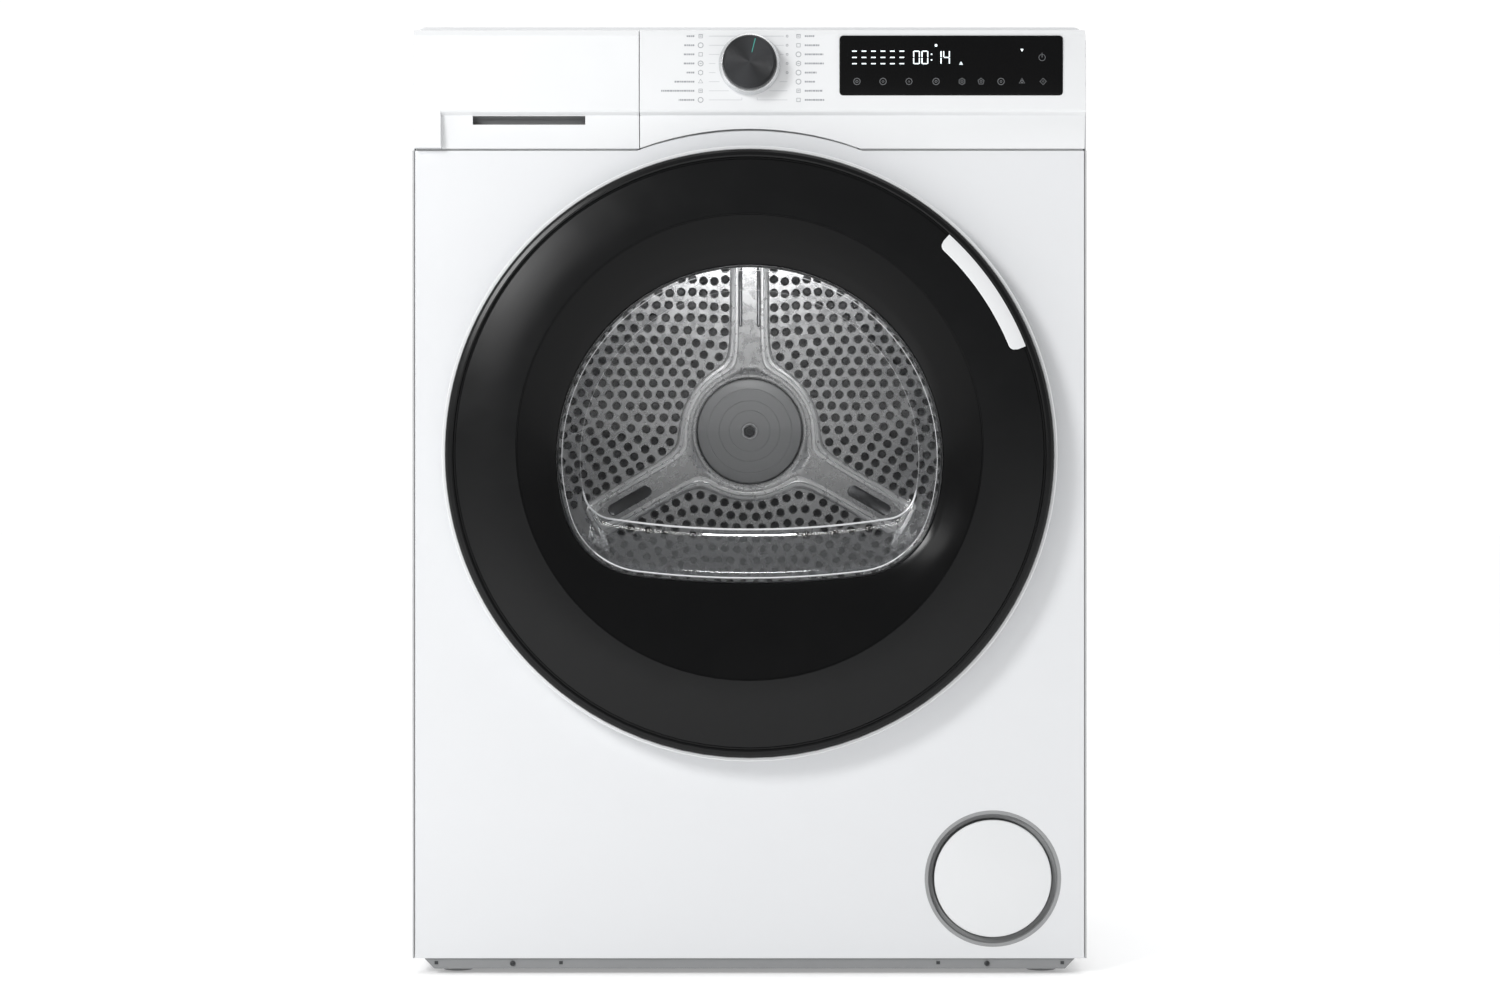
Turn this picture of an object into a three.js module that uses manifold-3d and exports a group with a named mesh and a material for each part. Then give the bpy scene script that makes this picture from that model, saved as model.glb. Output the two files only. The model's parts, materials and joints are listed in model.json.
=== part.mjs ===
// A front-loading heat-pump clothes dryer, as an assembly of separate solids.
// Millimetres, +Z up, the front faces -Y. The origin is on the floor, at the
// centre of the overall box. "Depth" below means distance behind the front
// panel's face, so a negative depth stands proud of it.
import * as THREE from "three";
import { mergeVertices } from "three/addons/utils/BufferGeometryUtils.js";
import Module from "manifold-3d";

const wasm = await Module();
wasm.setup();

// ---------------------------------------------------------------- dimensions
const WIDTH = 600;
const HEIGHT = 845;
const DEPTH = 600;
const DOOR_PROUD = 42;
const REAR_BULGE = 12;
const FRONT = -DEPTH / 2 + DOOR_PROUD;
const BODY_DEPTH = DEPTH - DOOR_PROUD - REAR_BULGE;
const SHEET = 1.6;
const GAP = 0.3;
const HALF = WIDTH / 2;

const PANEL_BOTTOM = 14;
const PANEL_TOP = 733;
const PANEL_HALF = 297.8;
const TOP_THICK = 12;
const SIDE_TOP = HEIGHT - TOP_THICK - 1;

const DOOR_Z = 463;
const DOOR_R = 272;
const ARCH_R = 288;
const MOUTH_R = 196;
const HINGE_X = -262;
const HINGE_DEPTH = -20;
const LOCK_X = 232;

const DRUM_Z = 493;
const DRUM_R = 283;
const DRUM_WALL = 2;
const DRUM_FRONT = 102;
const DRUM_REAR = 494;
const DRUM_LIP_R = 250;
const HUB_R = 54;

const FASCIA_RETURN = 14;
const FASCIA_PROUD = -12;
const FASCIA_TOP = 840;
const FASCIA_BOTTOM = 734.6;
const DRAWER_SPLIT = -98.2;
const KNOB_Z = 808;
const KNOB_R = 24.2;
const SKIRT_R = 27.3;

const FLAP_X = 216.6;
const FLAP_Z = 85;
const FLAP_R = 52.2;
const BEZEL_R = 60;
const FLAP_AXIS_Z = FLAP_Z - 37;
const FLAP_AXIS_DEPTH = 5;

const BELT_DEPTH = 322;
const BELT_WIDTH = 12;
const MOTOR_X = 10;
const MOTOR_Z = 112;
const PULLEY_R = 11;
const IDLER_X = -80;
const IDLER_Z = 160;
const IDLER_R = 20;
const ARM_X = -105;
const ARM_Z = 95;
const ROLLER_R = 30;
const ROLLER_ANGLE = 35;

const FOOT_X = 262;
const FOOT_FRONT_DEPTH = 35;
const FOOT_REAR_DEPTH = 506;
const TRAY_BOTTOM = 4.5;

const TANK_X0 = -286;
const TANK_X1 = -106;
const TANK_Z0 = 768;
const TANK_Z1 = 829;

const FILTER_HALF = 95;
const FILTER_D0 = 71;
const FILTER_D1 = 91.5;
const FILTER_BOTTOM = 170;
const FILTER_TOP = 335;

// ---------------------------------------------------------------- materials
const finish = (color, roughness, metalness, opacity = 1) =>
  new THREE.MeshStandardMaterial({
    color, roughness, metalness, opacity, transparent: opacity < 1,
  });
const WHITE_STEEL = finish(0xf2f3f4, 0.3, 0);
const WHITE_PLASTIC = finish(0xf4f5f6, 0.35, 0);
const BLACK_GLOSS = finish(0x0b0c0d, 0.12, 0);
const GLASS = finish(0x9aa0a4, 0.05, 0, 0.35);
const STAINLESS = finish(0xb9bbbe, 0.25, 1);
const ZINC = finish(0xa8abae, 0.4, 1);
const SILVER = finish(0xc9cbcd, 0.25, 0.6);
const GREY_PLASTIC = finish(0x8d8f91, 0.55, 0);
const DARK_PLASTIC = finish(0x2a2c2e, 0.5, 0);
const RUBBER = finish(0x3a3b3d, 0.8, 0);
const FELT = finish(0xb9b4a8, 0.95, 0);
const COPPER = finish(0xb36f4c, 0.3, 1);
const ALUMINIUM = finish(0xc3c6c9, 0.35, 1);
const BOARD = finish(0x2f6b46, 0.6, 0);

// ------------------------------------------------------------------ solids
/** A closed geometry as a manifold-3d solid, turned to face outwards. */
function solid(geometry) {
  const bare = new THREE.BufferGeometry();
  bare.setAttribute("position", geometry.getAttribute("position"));
  bare.setIndex(geometry.index);
  const merged = mergeVertices(bare, 1e-3);
  const triVerts = new Uint32Array(merged.index.array);
  const vertProperties = new Float32Array(merged.attributes.position.array);
  const make = () => new wasm.Manifold(new wasm.Mesh({ numProp: 3, vertProperties, triVerts }));
  const made = make();
  if (made.volume() > 0) return made;
  for (let i = 0; i < triVerts.length; i += 3) {
    [triVerts[i + 1], triVerts[i + 2]] = [triVerts[i + 2], triVerts[i + 1]];
  }
  return make();
}

const join = (...parts) => parts.reduce((a, b) => a.add(b));
const cut = (body, ...tools) => tools.reduce((a, b) => a.subtract(b), body);
const y = (depth) => FRONT + depth;

/** A box from low to high limits: x, depth and z. */
function box(x0, x1, d0, d1, z0, z1) {
  const geometry = new THREE.BoxGeometry(x1 - x0, d1 - d0, z1 - z0);
  geometry.translate((x0 + x1) / 2, y((d0 + d1) / 2), (z0 + z1) / 2);
  return solid(geometry);
}

/** A cylinder along Y between two depths. */
function rodY(cx, cz, r, d0, d1, sides = 32) {
  const geometry = new THREE.CylinderGeometry(r, r, d1 - d0, sides);
  geometry.translate(cx, y((d0 + d1) / 2), cz);
  return solid(geometry);
}

/** An upright cylinder between two heights, with its own top and bottom radius. */
function rodZ(cx, depth, r, z0, z1, sides = 24, topR = r) {
  const geometry = new THREE.CylinderGeometry(topR, r, z1 - z0, sides);
  geometry.rotateX(Math.PI / 2);
  geometry.translate(cx, y(depth), (z0 + z1) / 2);
  return solid(geometry);
}

/** A cylinder along X. */
function rodX(x0, x1, depth, cz, r, sides = 16) {
  const geometry = new THREE.CylinderGeometry(r, r, x1 - x0, sides);
  geometry.rotateZ(Math.PI / 2);
  geometry.translate((x0 + x1) / 2, y(depth), cz);
  return solid(geometry);
}

/** A closed profile of [radius, depth] points turned about a Y axis. */
function turned(profile, cx, cz, sides = 40) {
  const points = [...profile, profile[0]].map(([r, d]) => new THREE.Vector2(r, y(d)));
  const geometry = new THREE.LatheGeometry(points, sides);
  geometry.translate(cx, 0, cz);
  return solid(geometry);
}

/** A flat shape in X and Z, extruded between two depths. */
function plate(shape, d0, d1, curveSegments = 24) {
  const geometry = new THREE.ExtrudeGeometry(shape, {
    depth: d1 - d0, bevelEnabled: false, curveSegments,
  });
  geometry.rotateX(Math.PI / 2);
  geometry.translate(0, y(d1), 0);
  return solid(geometry);
}

/** A side profile of [depth, z] points, extruded along X. */
function along(profile, x0, x1) {
  const shape = new THREE.Shape(profile.map(([d, z]) => new THREE.Vector2(y(d), z)));
  const geometry = new THREE.ExtrudeGeometry(shape, { depth: x1 - x0, bevelEnabled: false });
  const turn = new THREE.Matrix4().makeBasis(
    new THREE.Vector3(0, 1, 0), new THREE.Vector3(0, 0, 1), new THREE.Vector3(1, 0, 0));
  geometry.applyMatrix4(turn);
  geometry.translate(x0, 0, 0);
  return solid(geometry);
}

/** A plan profile of [x, depth] points, extruded upwards. */
function upright(profile, z0, z1) {
  const shape = new THREE.Shape(profile.map(([px, d]) => new THREE.Vector2(px, y(d))));
  const geometry = new THREE.ExtrudeGeometry(shape, { depth: z1 - z0, bevelEnabled: false });
  geometry.translate(0, 0, z0);
  return solid(geometry);
}

/** A round tube through [x, depth, z] points. */
function tube(points, r, sides, steps) {
  const path = new THREE.CatmullRomCurve3(
    points.map(([px, d, pz]) => new THREE.Vector3(px, y(d), pz)), false, "centripetal");
  const section = new THREE.Shape();
  for (let i = 0; i < sides; i++) {
    const a = (2 * Math.PI * i) / sides;
    section[i ? "lineTo" : "moveTo"](r * Math.cos(a), r * Math.sin(a));
  }
  return solid(new THREE.ExtrudeGeometry(section, { extrudePath: path, steps, bevelEnabled: false }));
}


/** A turn of a solid about the Y axis through (cx, cz). */
function spun(body, cx, cz, degrees) {
  return body.translate([-cx, 0, -cz]).rotate([0, degrees, 0]).translate([cx, 0, cz]);
}

// The loading mouth's outline: a circle with a nearly flat bottom. All four
// stretches are arcs that meet without a corner.
function mouthOutline({ cz, r, bottom, corner, bottomR = 830 }) {
  const low = bottom + bottomR;
  const reach = (r - corner) ** 2 - (bottomR - corner) ** 2;
  const cornerZ = (reach + low ** 2 - cz ** 2) / (2 * (low - cz));
  const cornerX = Math.sqrt((r - corner) ** 2 - (cornerZ - cz) ** 2);
  const side = Math.atan2(cornerZ - cz, cornerX);
  const under = Math.atan2(cornerZ - low, cornerX);
  const points = [];
  const arc = (cx, c, radius, from, to, steps) => {
    for (let i = 0; i < steps; i++) {
      const a = from + ((to - from) * i) / steps;
      points.push(new THREE.Vector2(cx + radius * Math.cos(a), c + radius * Math.sin(a)));
    }
  };
  arc(0, cz, r, side, Math.PI - side, 26);
  arc(-cornerX, cornerZ, corner, Math.PI - side, Math.PI - under, 4);
  arc(0, low, bottomR, Math.PI - under, 2 * Math.PI + under, 3);
  arc(cornerX, cornerZ, corner, under, side, 4);
  return points;
}

const mouthPlate = (size, d0, d1) => plate(new THREE.Shape(mouthOutline(size)), d0, d1);

/** A solid between two outlines with the same number of points. */
function loft(a, depthA, b, depthB) {
  const n = a.length;
  const at = (points, d) => points.flatMap((p) => [p.x, y(d), p.y]);
  const centre = (points, d) => {
    const sum = points.reduce((s, p) => s.add(p), new THREE.Vector2()).divideScalar(n);
    return [sum.x, y(d), sum.y];
  };
  const index = [];
  for (let i = 0; i < n; i++) {
    const j = (i + 1) % n;
    index.push(i, j, n + j, i, n + j, n + i);
    index.push(2 * n, j, i, 2 * n + 1, n + i, n + j);
  }
  const geometry = new THREE.BufferGeometry();
  const position = [...at(a, depthA), ...at(b, depthB), ...centre(a, depthA), ...centre(b, depthB)];
  geometry.setAttribute("position", new THREE.Float32BufferAttribute(position, 3));
  geometry.setIndex(index);
  return solid(geometry);
}

// ------------------------------------------------------------------- group
const dryer = new THREE.Group();

function add(name, body, material) {
  const mesh = body.getMesh();
  const count = mesh.numVert;
  const positions = new Float32Array(count * 3);
  for (let i = 0; i < count; i++) {
    const from = i * mesh.numProp;
    positions.set(mesh.vertProperties.subarray(from, from + 3), i * 3);
  }
  const geometry = new THREE.BufferGeometry();
  geometry.setAttribute("position", new THREE.BufferAttribute(positions, 3));
  geometry.setIndex(new THREE.BufferAttribute(mesh.triVerts, 1));
  const piece = new THREE.Mesh(geometry, material);
  piece.name = name;
  dryer.add(piece);
}

// ----------------------------------------------------------------- cabinet
function sidePanel(side) {
  const sheet = box(HALF - SHEET, HALF, 4, BODY_DEPTH, PANEL_BOTTOM, SIDE_TOP);
  const frontFlange = box(288, HALF - SHEET / 2, 13.5, 13.5 + SHEET, 104, 730);
  const bottomFlange = box(291, HALF - SHEET / 2, 14, BODY_DEPTH - 20, PANEL_BOTTOM, PANEL_BOTTOM + SHEET);
  const right = join(sheet, frontFlange, bottomFlange);
  return side > 0 ? right : right.mirror([1, 0, 0]);
}

const GLAND_X = 250;
const GLAND_Z = 700;
function rearPanel() {
  const inner = HALF - SHEET - GAP;
  const face = BODY_DEPTH - SHEET;
  const sheet = box(-inner, inner, face, BODY_DEPTH, PANEL_BOTTOM, SIDE_TOP);
  const skirtR = 152;
  const crownR = 140;
  const crown = BODY_DEPTH + REAR_BULGE;
  const bulge = turned([
    [0, crown], [crownR, crown], [skirtR, BODY_DEPTH], [skirtR, face],
    [skirtR - 3, face], [crownR - 1, crown - SHEET], [0, crown - SHEET],
  ], 0, DRUM_Z, 36);
  let panel = join(cut(sheet, rodY(0, DRUM_Z, skirtR - 2, face - 1, BODY_DEPTH + 1, 36)), bulge);
  const slot = { left: -262, length: 120, height: 5, pitch: 14, count: 7, low: 60 };
  for (let i = 0; i < slot.count; i++) {
    const z = slot.low + i * slot.pitch;
    panel = cut(panel, box(slot.left, slot.left + slot.length, face - 1, BODY_DEPTH + 1, z, z + slot.height));
  }
  return cut(panel, rodY(GLAND_X, GLAND_Z, 8.4, face - 1, BODY_DEPTH + 1, 20));
}

const cableGland = () => cut(
  join(
    rodY(GLAND_X, GLAND_Z, 8, BODY_DEPTH - 12, BODY_DEPTH + 9, 20),
    rodY(GLAND_X, GLAND_Z, 12, BODY_DEPTH + GAP, BODY_DEPTH + 5, 20)),
  rodY(GLAND_X, GLAND_Z, 4, BODY_DEPTH - 20, BODY_DEPTH + 12, 16));

function frontPanel() {
  const outline = new THREE.Shape();
  const archHalf = Math.sqrt(ARCH_R ** 2 - (PANEL_TOP - DOOR_Z) ** 2);
  const from = Math.atan2(PANEL_TOP - DOOR_Z, archHalf);
  outline.moveTo(-PANEL_HALF, PANEL_BOTTOM);
  outline.lineTo(PANEL_HALF, PANEL_BOTTOM);
  outline.lineTo(PANEL_HALF, PANEL_TOP);
  outline.lineTo(archHalf, PANEL_TOP);
  outline.absarc(0, DOOR_Z, ARCH_R, from, Math.PI - from, false);
  outline.lineTo(-PANEL_HALF, PANEL_TOP);
  const returnDepth = 12;
  const sideReturn = box(PANEL_HALF - SHEET, PANEL_HALF, 0.5, returnDepth, PANEL_BOTTOM, PANEL_TOP);
  const bottomReturn = box(-PANEL_HALF, PANEL_HALF, 0.5, 3 - GAP, PANEL_BOTTOM, PANEL_BOTTOM + SHEET);
  const body = join(plate(outline, 0, SHEET), sideReturn, sideReturn.mirror([1, 0, 0]), bottomReturn);
  return cut(body,
    rodY(0, DOOR_Z, MOUTH_R, -1, 3, 48),
    rodY(FLAP_X, FLAP_Z, BEZEL_R + GAP, -1, 3, 28),
    box(LOCK_X - 8, LOCK_X + 8, -1, 3, DOOR_Z - 14, DOOR_Z + 14));
}

function topPanel() {
  const half = HALF - 2;
  const low = HEIGHT - TOP_THICK;
  const edge = 9;
  const section = new THREE.Shape();
  section.moveTo(-half, low);
  section.lineTo(half, low);
  section.lineTo(half, HEIGHT - edge);
  section.absarc(half - edge, HEIGHT - edge, edge, 0, Math.PI / 2, false);
  section.absarc(-half + edge, HEIGHT - edge, edge, Math.PI / 2, Math.PI, false);
  return plate(section, FASCIA_RETURN + GAP, BODY_DEPTH, 6);
}

function baseTray() {
  const half = 290;
  const toe = 281;
  const wallTop = 100;
  const wall = 3;
  const floorTop = TRAY_BOTTOM + wall;
  const d0 = 3;
  const d1 = BODY_DEPTH - 4;
  const section = new THREE.Shape([
    [-toe, TRAY_BOTTOM], [toe, TRAY_BOTTOM], [half, PANEL_BOTTOM],
    [half, wallTop], [-half, wallTop], [-half, PANEL_BOTTOM],
  ].map(([px, pz]) => new THREE.Vector2(px, pz)));
  let tray = cut(plate(section, d0, d1),
    box(wall - half, half - wall, d0 + wall, d1 - wall, floorTop + 5, wallTop + 1),
    box(wall - toe, toe - wall, d0 + wall, d1 - wall, floorTop, wallTop + 1),
    box(FLAP_X - BEZEL_R - 3, half - wall - 1, d0 - 1, d0 + wall + 1, FLAP_Z - BEZEL_R - 3, wallTop + 1));
  const boss = { r: 15, bore: 6.4, top: 44 };
  for (const [fx, fd] of FEET.map((f) => [f.x, f.depth])) {
    tray = cut(join(tray, rodZ(fx, fd, boss.r, TRAY_BOTTOM, boss.top, 16)),
      rodZ(fx, fd, boss.bore, 0, boss.top + 1, 12));
  }
  return join(tray, box(88, 91, 60, 300, floorTop - 1, wallTop));
}

// -------------------------------------------------------------------- feet
const FEET = [
  { name: "foot_front_left", x: -FOOT_X, depth: FOOT_FRONT_DEPTH },
  { name: "foot_front_right", x: FOOT_X, depth: FOOT_FRONT_DEPTH },
  { name: "foot_rear_left", x: -FOOT_X, depth: FOOT_REAR_DEPTH },
  { name: "foot_rear_right", x: FOOT_X, depth: FOOT_REAR_DEPTH },
];
const foot = ({ x, depth }) => join(
  rodZ(x, depth, 13, 0, 2.2, 16, 16),
  rodZ(x, depth, 16, 2, TRAY_BOTTOM - GAP, 16),
  rodZ(x, depth, 6, 3, 42, 10));

// ---------------------------------------------------------- control fascia
const LIP_Z = 766;
// The fascia's section: a shell open at the back, with a scooped band below.
const FASCIA_SECTION = [
  [-2, FASCIA_TOP], [-8, 838.6], [-10.6, 834], [FASCIA_PROUD, 768], [-11, LIP_Z],
  [-6, 763.6], [-1.5, FASCIA_BOTTOM], [12, FASCIA_BOTTOM], [12, 737.2], [1.5, 737.2],
  [-3, 763], [-4, LIP_Z + 1], [-8.6, 770], [-7.4, 833], [-5, 836.6],
  [FASCIA_RETURN, 836.6], [FASCIA_RETURN, FASCIA_TOP],
];
const FASCIA_END = [
  [-2, FASCIA_TOP], [-8, 838.6], [-10.6, 834], [FASCIA_PROUD, 768], [-11, LIP_Z],
  [-6, 763.6], [-1.5, FASCIA_BOTTOM], [12, FASCIA_BOTTOM], [FASCIA_RETURN, 737],
  [FASCIA_RETURN, FASCIA_TOP],
];
const DISPLAY = { x0: 79.6, x1: 278, z0: 780.5, z1: 834 };
const END_WALL = 2.5;
const FASCIA_HALF = 298;

function controlPanel() {
  const x0 = DRAWER_SPLIT + 0.7;
  const shell = along(FASCIA_SECTION, x0, FASCIA_HALF);
  const ends = [along(FASCIA_END, x0, x0 + END_WALL), along(FASCIA_END, FASCIA_HALF - END_WALL, FASCIA_HALF)];
  return cut(join(shell, ...ends),
    rodY(0, DOOR_Z, ARCH_R + 1, -20, 30, 128),
    box(DISPLAY.x0 - GAP, DISPLAY.x1 + GAP, -20, -4, DISPLAY.z0 - GAP, DISPLAY.z1 + GAP),
    rodY(0, KNOB_Z, 6, -20, -4, 20));
}

function displayWindow() {
  const front = -12.4;
  return box(DISPLAY.x0, DISPLAY.x1, front, front + 2, DISPLAY.z0, DISPLAY.z1);
}

function controlBoard() {
  const board = box(-20, 286, 0, 2, 776, 832);
  const encoder = box(-10, 10, -6, 1, KNOB_Z - 10, KNOB_Z + 10);
  const displayModule = box(90, 268, -7.5, 1, 786, 829);
  return cut(join(board, encoder, displayModule), rodY(0, KNOB_Z, 3.6, -10, 5, 16));
}

const KNOB_FACE = -34;
const KNOB_SKIRT_FACE = -20;
const knobCap = () => join(
  rodY(0, KNOB_Z, KNOB_R, KNOB_FACE, KNOB_SKIRT_FACE - GAP, 36),
  rodY(0, KNOB_Z, 3.2, KNOB_SKIRT_FACE - 1, -2, 16));
const knobSkirt = () => turned([
  [4, -12.6], [SKIRT_R, -12.6], [SKIRT_R, -16], [KNOB_R + 0.6, KNOB_SKIRT_FACE], [4, KNOB_SKIRT_FACE],
], 0, KNOB_Z, 36);

// -------------------------------------------------------------- water tank
function tankFront() {
  const x1 = DRAWER_SPLIT;
  const x0 = -FASCIA_HALF;
  const flush = [
    [FASCIA_PROUD, 768], [-11.4, 738], [-9, FASCIA_BOTTOM], [2, FASCIA_BOTTOM], [-3, 763], [-8.6, 770],
  ];
  const scoopStart = -274;
  return cut(join(
    along(FASCIA_SECTION, x0, x1),
    along(FASCIA_END, x0, x0 + END_WALL),
    along(FASCIA_END, x1 - END_WALL, x1),
    along(flush, x0, scoopStart)),
  box(-246, -146, -14, 8, 755.5, 763.2));
}

function waterTank() {
  const wall = 2.5;
  const d0 = FASCIA_RETURN + GAP;
  const d1 = 455;
  return cut(box(TANK_X0, TANK_X1, d0, d1, TANK_Z0, TANK_Z1),
    box(TANK_X0 + wall, TANK_X1 - wall, d0 + wall, d1 - wall, TANK_Z0 + wall, TANK_Z1 - wall),
    rodZ(TANK_X0 + 40, d1 - 40, 20, TANK_Z1 - 5, TANK_Z1 + 1, 20));
}

function tankTray() {
  const wall = 2;
  const d0 = 17;
  const d1 = 466;
  const x0 = TANK_X0 - 5;
  const x1 = TANK_X1 + 3;
  return cut(box(x0, x1, d0, d1, TANK_Z0 - 3, TANK_Z1 + 2),
    box(x0 + wall, x1 - wall, d0 - 1, d1 - wall, TANK_Z0 - 1, TANK_Z1 + 3),
    box(x0 + 30, x1 - 30, d1 - 4, d1 + 1, TANK_Z1 - 20, TANK_Z1 + 3));
}

const drainPump = () => join(
  rodZ(-232, 470, 28, 10, 52, 24),
  rodZ(-232, 470, 20, 51, 66, 20),
  rodZ(-246, 478, 7, 60, 84, 12));

const tankHose = () => tube([
  [-246, 478, 84.6], [-246, 478, 100], [-248, 486, 116], [-262, 508, 150], [-281, 517, 215], [-284, 518, 420],
  [-284, 518, 640], [-280, 515, 730], [-262, 500, 786], [-248, 483, 812], [-246, 468, 818],
], 6, 8, 24);

// --------------------------------------------------- front bulkhead, filter
const MOUTH = { cz: 461, r: 181, bottom: 336, corner: 74 };
const mouthOf = (growth, bottomGrowth = growth) => ({
  ...MOUTH, r: MOUTH.r + growth, bottom: MOUTH.bottom - bottomGrowth, corner: MOUTH.corner + growth,
});
const ROLLER_DISTANCE = DRUM_R + ROLLER_R + GAP;
const ROLLER_X = ROLLER_DISTANCE * Math.sin(THREE.MathUtils.degToRad(ROLLER_ANGLE));
const ROLLER_Z = DRUM_Z - ROLLER_DISTANCE * Math.cos(THREE.MathUtils.degToRad(ROLLER_ANGLE));
const FELT_R = 246;

function frontBulkhead() {
  const web0 = 88;
  const web1 = 91;
  const web = join(rodY(0, DRUM_Z, 278, web0, web1, 40), box(-283, 283, web0, web1, 205, 600));
  const collar = mouthPlate(mouthOf(3), 4, web1);
  const rim = rodY(0, DOOR_Z, 204, SHEET + GAP, 5, 48);
  const feltSeat = turned([[FELT_R - 3, web0], [FELT_R, web0], [FELT_R, 110], [FELT_R - 3, 110]], 0, DRUM_Z);
  const slot = box(-FILTER_HALF - 5.5, FILTER_HALF + 5.5, FILTER_D0 - 4.5, 97, FILTER_BOTTOM - 6, 345);
  const axles = [-1, 1].map((s) => join(
    rodY(s * ROLLER_X, ROLLER_Z, 9, web0, 100, 16),
    rodY(s * ROLLER_X, ROLLER_Z, 5, web0, 128, 12)));
  return cut(join(web, collar, rim, feltSeat, ...axles), mouthPlate(mouthOf(0), 0, 120), slot);
}

/** The open-topped box behind the mouth's lower edge that the lint filter drops into. */
function filterPocket() {
  const outer = box(-FILTER_HALF - 5, FILTER_HALF + 5, FILTER_D0 - 4, 96.6, FILTER_BOTTOM - 5, 336);
  const slot = box(-FILTER_HALF - 2, FILTER_HALF + 2, FILTER_D0 - 1.5, 94, FILTER_BOTTOM - 2, 345);
  return cut(outer, slot);
}

const frontFelt = () => turned([
  [FELT_R + GAP, 97], [DRUM_LIP_R - 1, 97], [DRUM_LIP_R - 1, 109.5], [FELT_R + GAP, 109.5],
], 0, DRUM_Z);

const supportRoller = (side) => cut(
  rodY(side * ROLLER_X, ROLLER_Z, ROLLER_R, 105, 124, 32),
  rodY(side * ROLLER_X, ROLLER_Z, 5.2, 100, 130, 16));

function lintFilter() {
  const wall = 2;
  const frame = box(-FILTER_HALF, FILTER_HALF, FILTER_D0, FILTER_D1, FILTER_BOTTOM, FILTER_TOP);
  const grip = box(-42, 42, FILTER_D0 + 8, FILTER_D0 + 12, FILTER_TOP - 14, FILTER_TOP + 12);
  const inside = box(wall - FILTER_HALF, FILTER_HALF - wall, FILTER_D0 + wall, FILTER_D1 - wall,
    FILTER_BOTTOM + wall, FILTER_TOP + 1);
  const bridge = box(-44, 44, FILTER_D0 + 1, FILTER_D1 - 1, FILTER_TOP - 14, FILTER_TOP - 8);
  return join(cut(frame, inside), bridge, grip);
}

// --------------------------------------------------------------------- drum
const drumShell = () => turned([
  [DRUM_LIP_R, DRUM_FRONT], [DRUM_R, DRUM_FRONT], [DRUM_R, DRUM_REAR],
  [DRUM_R - DRUM_WALL, DRUM_REAR], [DRUM_R - DRUM_WALL, DRUM_FRONT + DRUM_WALL],
  [DRUM_LIP_R, DRUM_FRONT + DRUM_WALL],
], 0, DRUM_Z, 48);

const STAR_ARMS = [90, 210, 330];
const BACK_FACE = 489;
const STAR_FACE = 482;

function drumBack() {
  const dish = rodY(0, DRUM_Z, DRUM_R - DRUM_WALL - GAP, BACK_FACE, BACK_FACE + 2.5, 48);
  const arm = box(0, 214, STAR_FACE, BACK_FACE + 1, DRUM_Z - 19, DRUM_Z + 19);
  const arms = STAR_ARMS.map((a) => spun(arm, 0, DRUM_Z, -a));
  const hub = rodY(0, DRUM_Z, 74, STAR_FACE, BACK_FACE + 1, 40);
  return cut(join(dish, hub, ...arms), rodY(0, DRUM_Z, HUB_R + GAP, STAR_FACE - 1, BACK_FACE, 36));
}

const hubCap = () => cut(
  rodY(0, DRUM_Z, HUB_R, STAR_FACE + 1, BACK_FACE - GAP, 36),
  rodY(0, DRUM_Z, 6, STAR_FACE, STAR_FACE + 4, 6));

const drumShaft = () => join(
  rodY(0, DRUM_Z, 48, BACK_FACE + 2.5 + GAP, 497, 32),
  rodY(0, DRUM_Z, 12.5, 496, 536, 24));

function lifter(angle) {
  const foot = DRUM_R - DRUM_WALL - 4;
  const height = 58;
  const profile = new THREE.Shape();
  profile.moveTo(foot, DRUM_Z - 36);
  profile.lineTo(foot, DRUM_Z + 36);
  profile.lineTo(foot - height + 8, DRUM_Z + 15);
  profile.absarc(foot - height + 12, DRUM_Z, 12, 2.2, -2.2 + 2 * Math.PI, false);
  profile.lineTo(foot - height + 8, DRUM_Z - 15);
  return spun(plate(profile, 112, 478, 5), 0, DRUM_Z, -angle);
}

// ------------------------------------------------------ rear duct, bearing
function rearDuct() {
  const r = 262;
  const d0 = 499;
  const d1 = 530;
  const wall = 3;
  const pan = turned([
    [0, d1], [r, d1], [r, d0], [r - wall, d0], [r - wall, d1 - wall], [0, d1 - wall],
  ], 0, DRUM_Z);
  const leg = cut(box(14, 98, d0, d1, 200, 250), box(17, 95, d0 + wall, d1 - wall, 199, 251));
  const way = box(17, 95, d0 + wall, d1 - wall, 228, 262);
  const seat = rodY(0, DRUM_Z, 30, 512, d1, 32);
  return cut(join(cut(pan, way), cut(leg, rodY(0, DRUM_Z, r - wall, d0 - 1, d1 - wall)), seat),
    rodY(0, DRUM_Z, 25 + GAP, 505, 531, 32));
}

const rearBearing = () => cut(rodY(0, DRUM_Z, 25, 514, 529, 32), rodY(0, DRUM_Z, 12.8, 510, 532, 24));

// ------------------------------------------------------ motor, blower, belt
const motorHousing = () => cut(join(
  rodY(MOTOR_X, MOTOR_Z, 48, 350, 440, 28),
  rodY(MOTOR_X, MOTOR_Z, 22, 344, 446, 16),
  box(MOTOR_X - 40, MOTOR_X + 40, 362, 374, 8, MOTOR_Z - 30),
  box(MOTOR_X - 40, MOTOR_X + 40, 416, 428, 8, MOTOR_Z - 30)),
rodY(MOTOR_X, MOTOR_Z, 6.6, 340, 450, 16));

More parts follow.
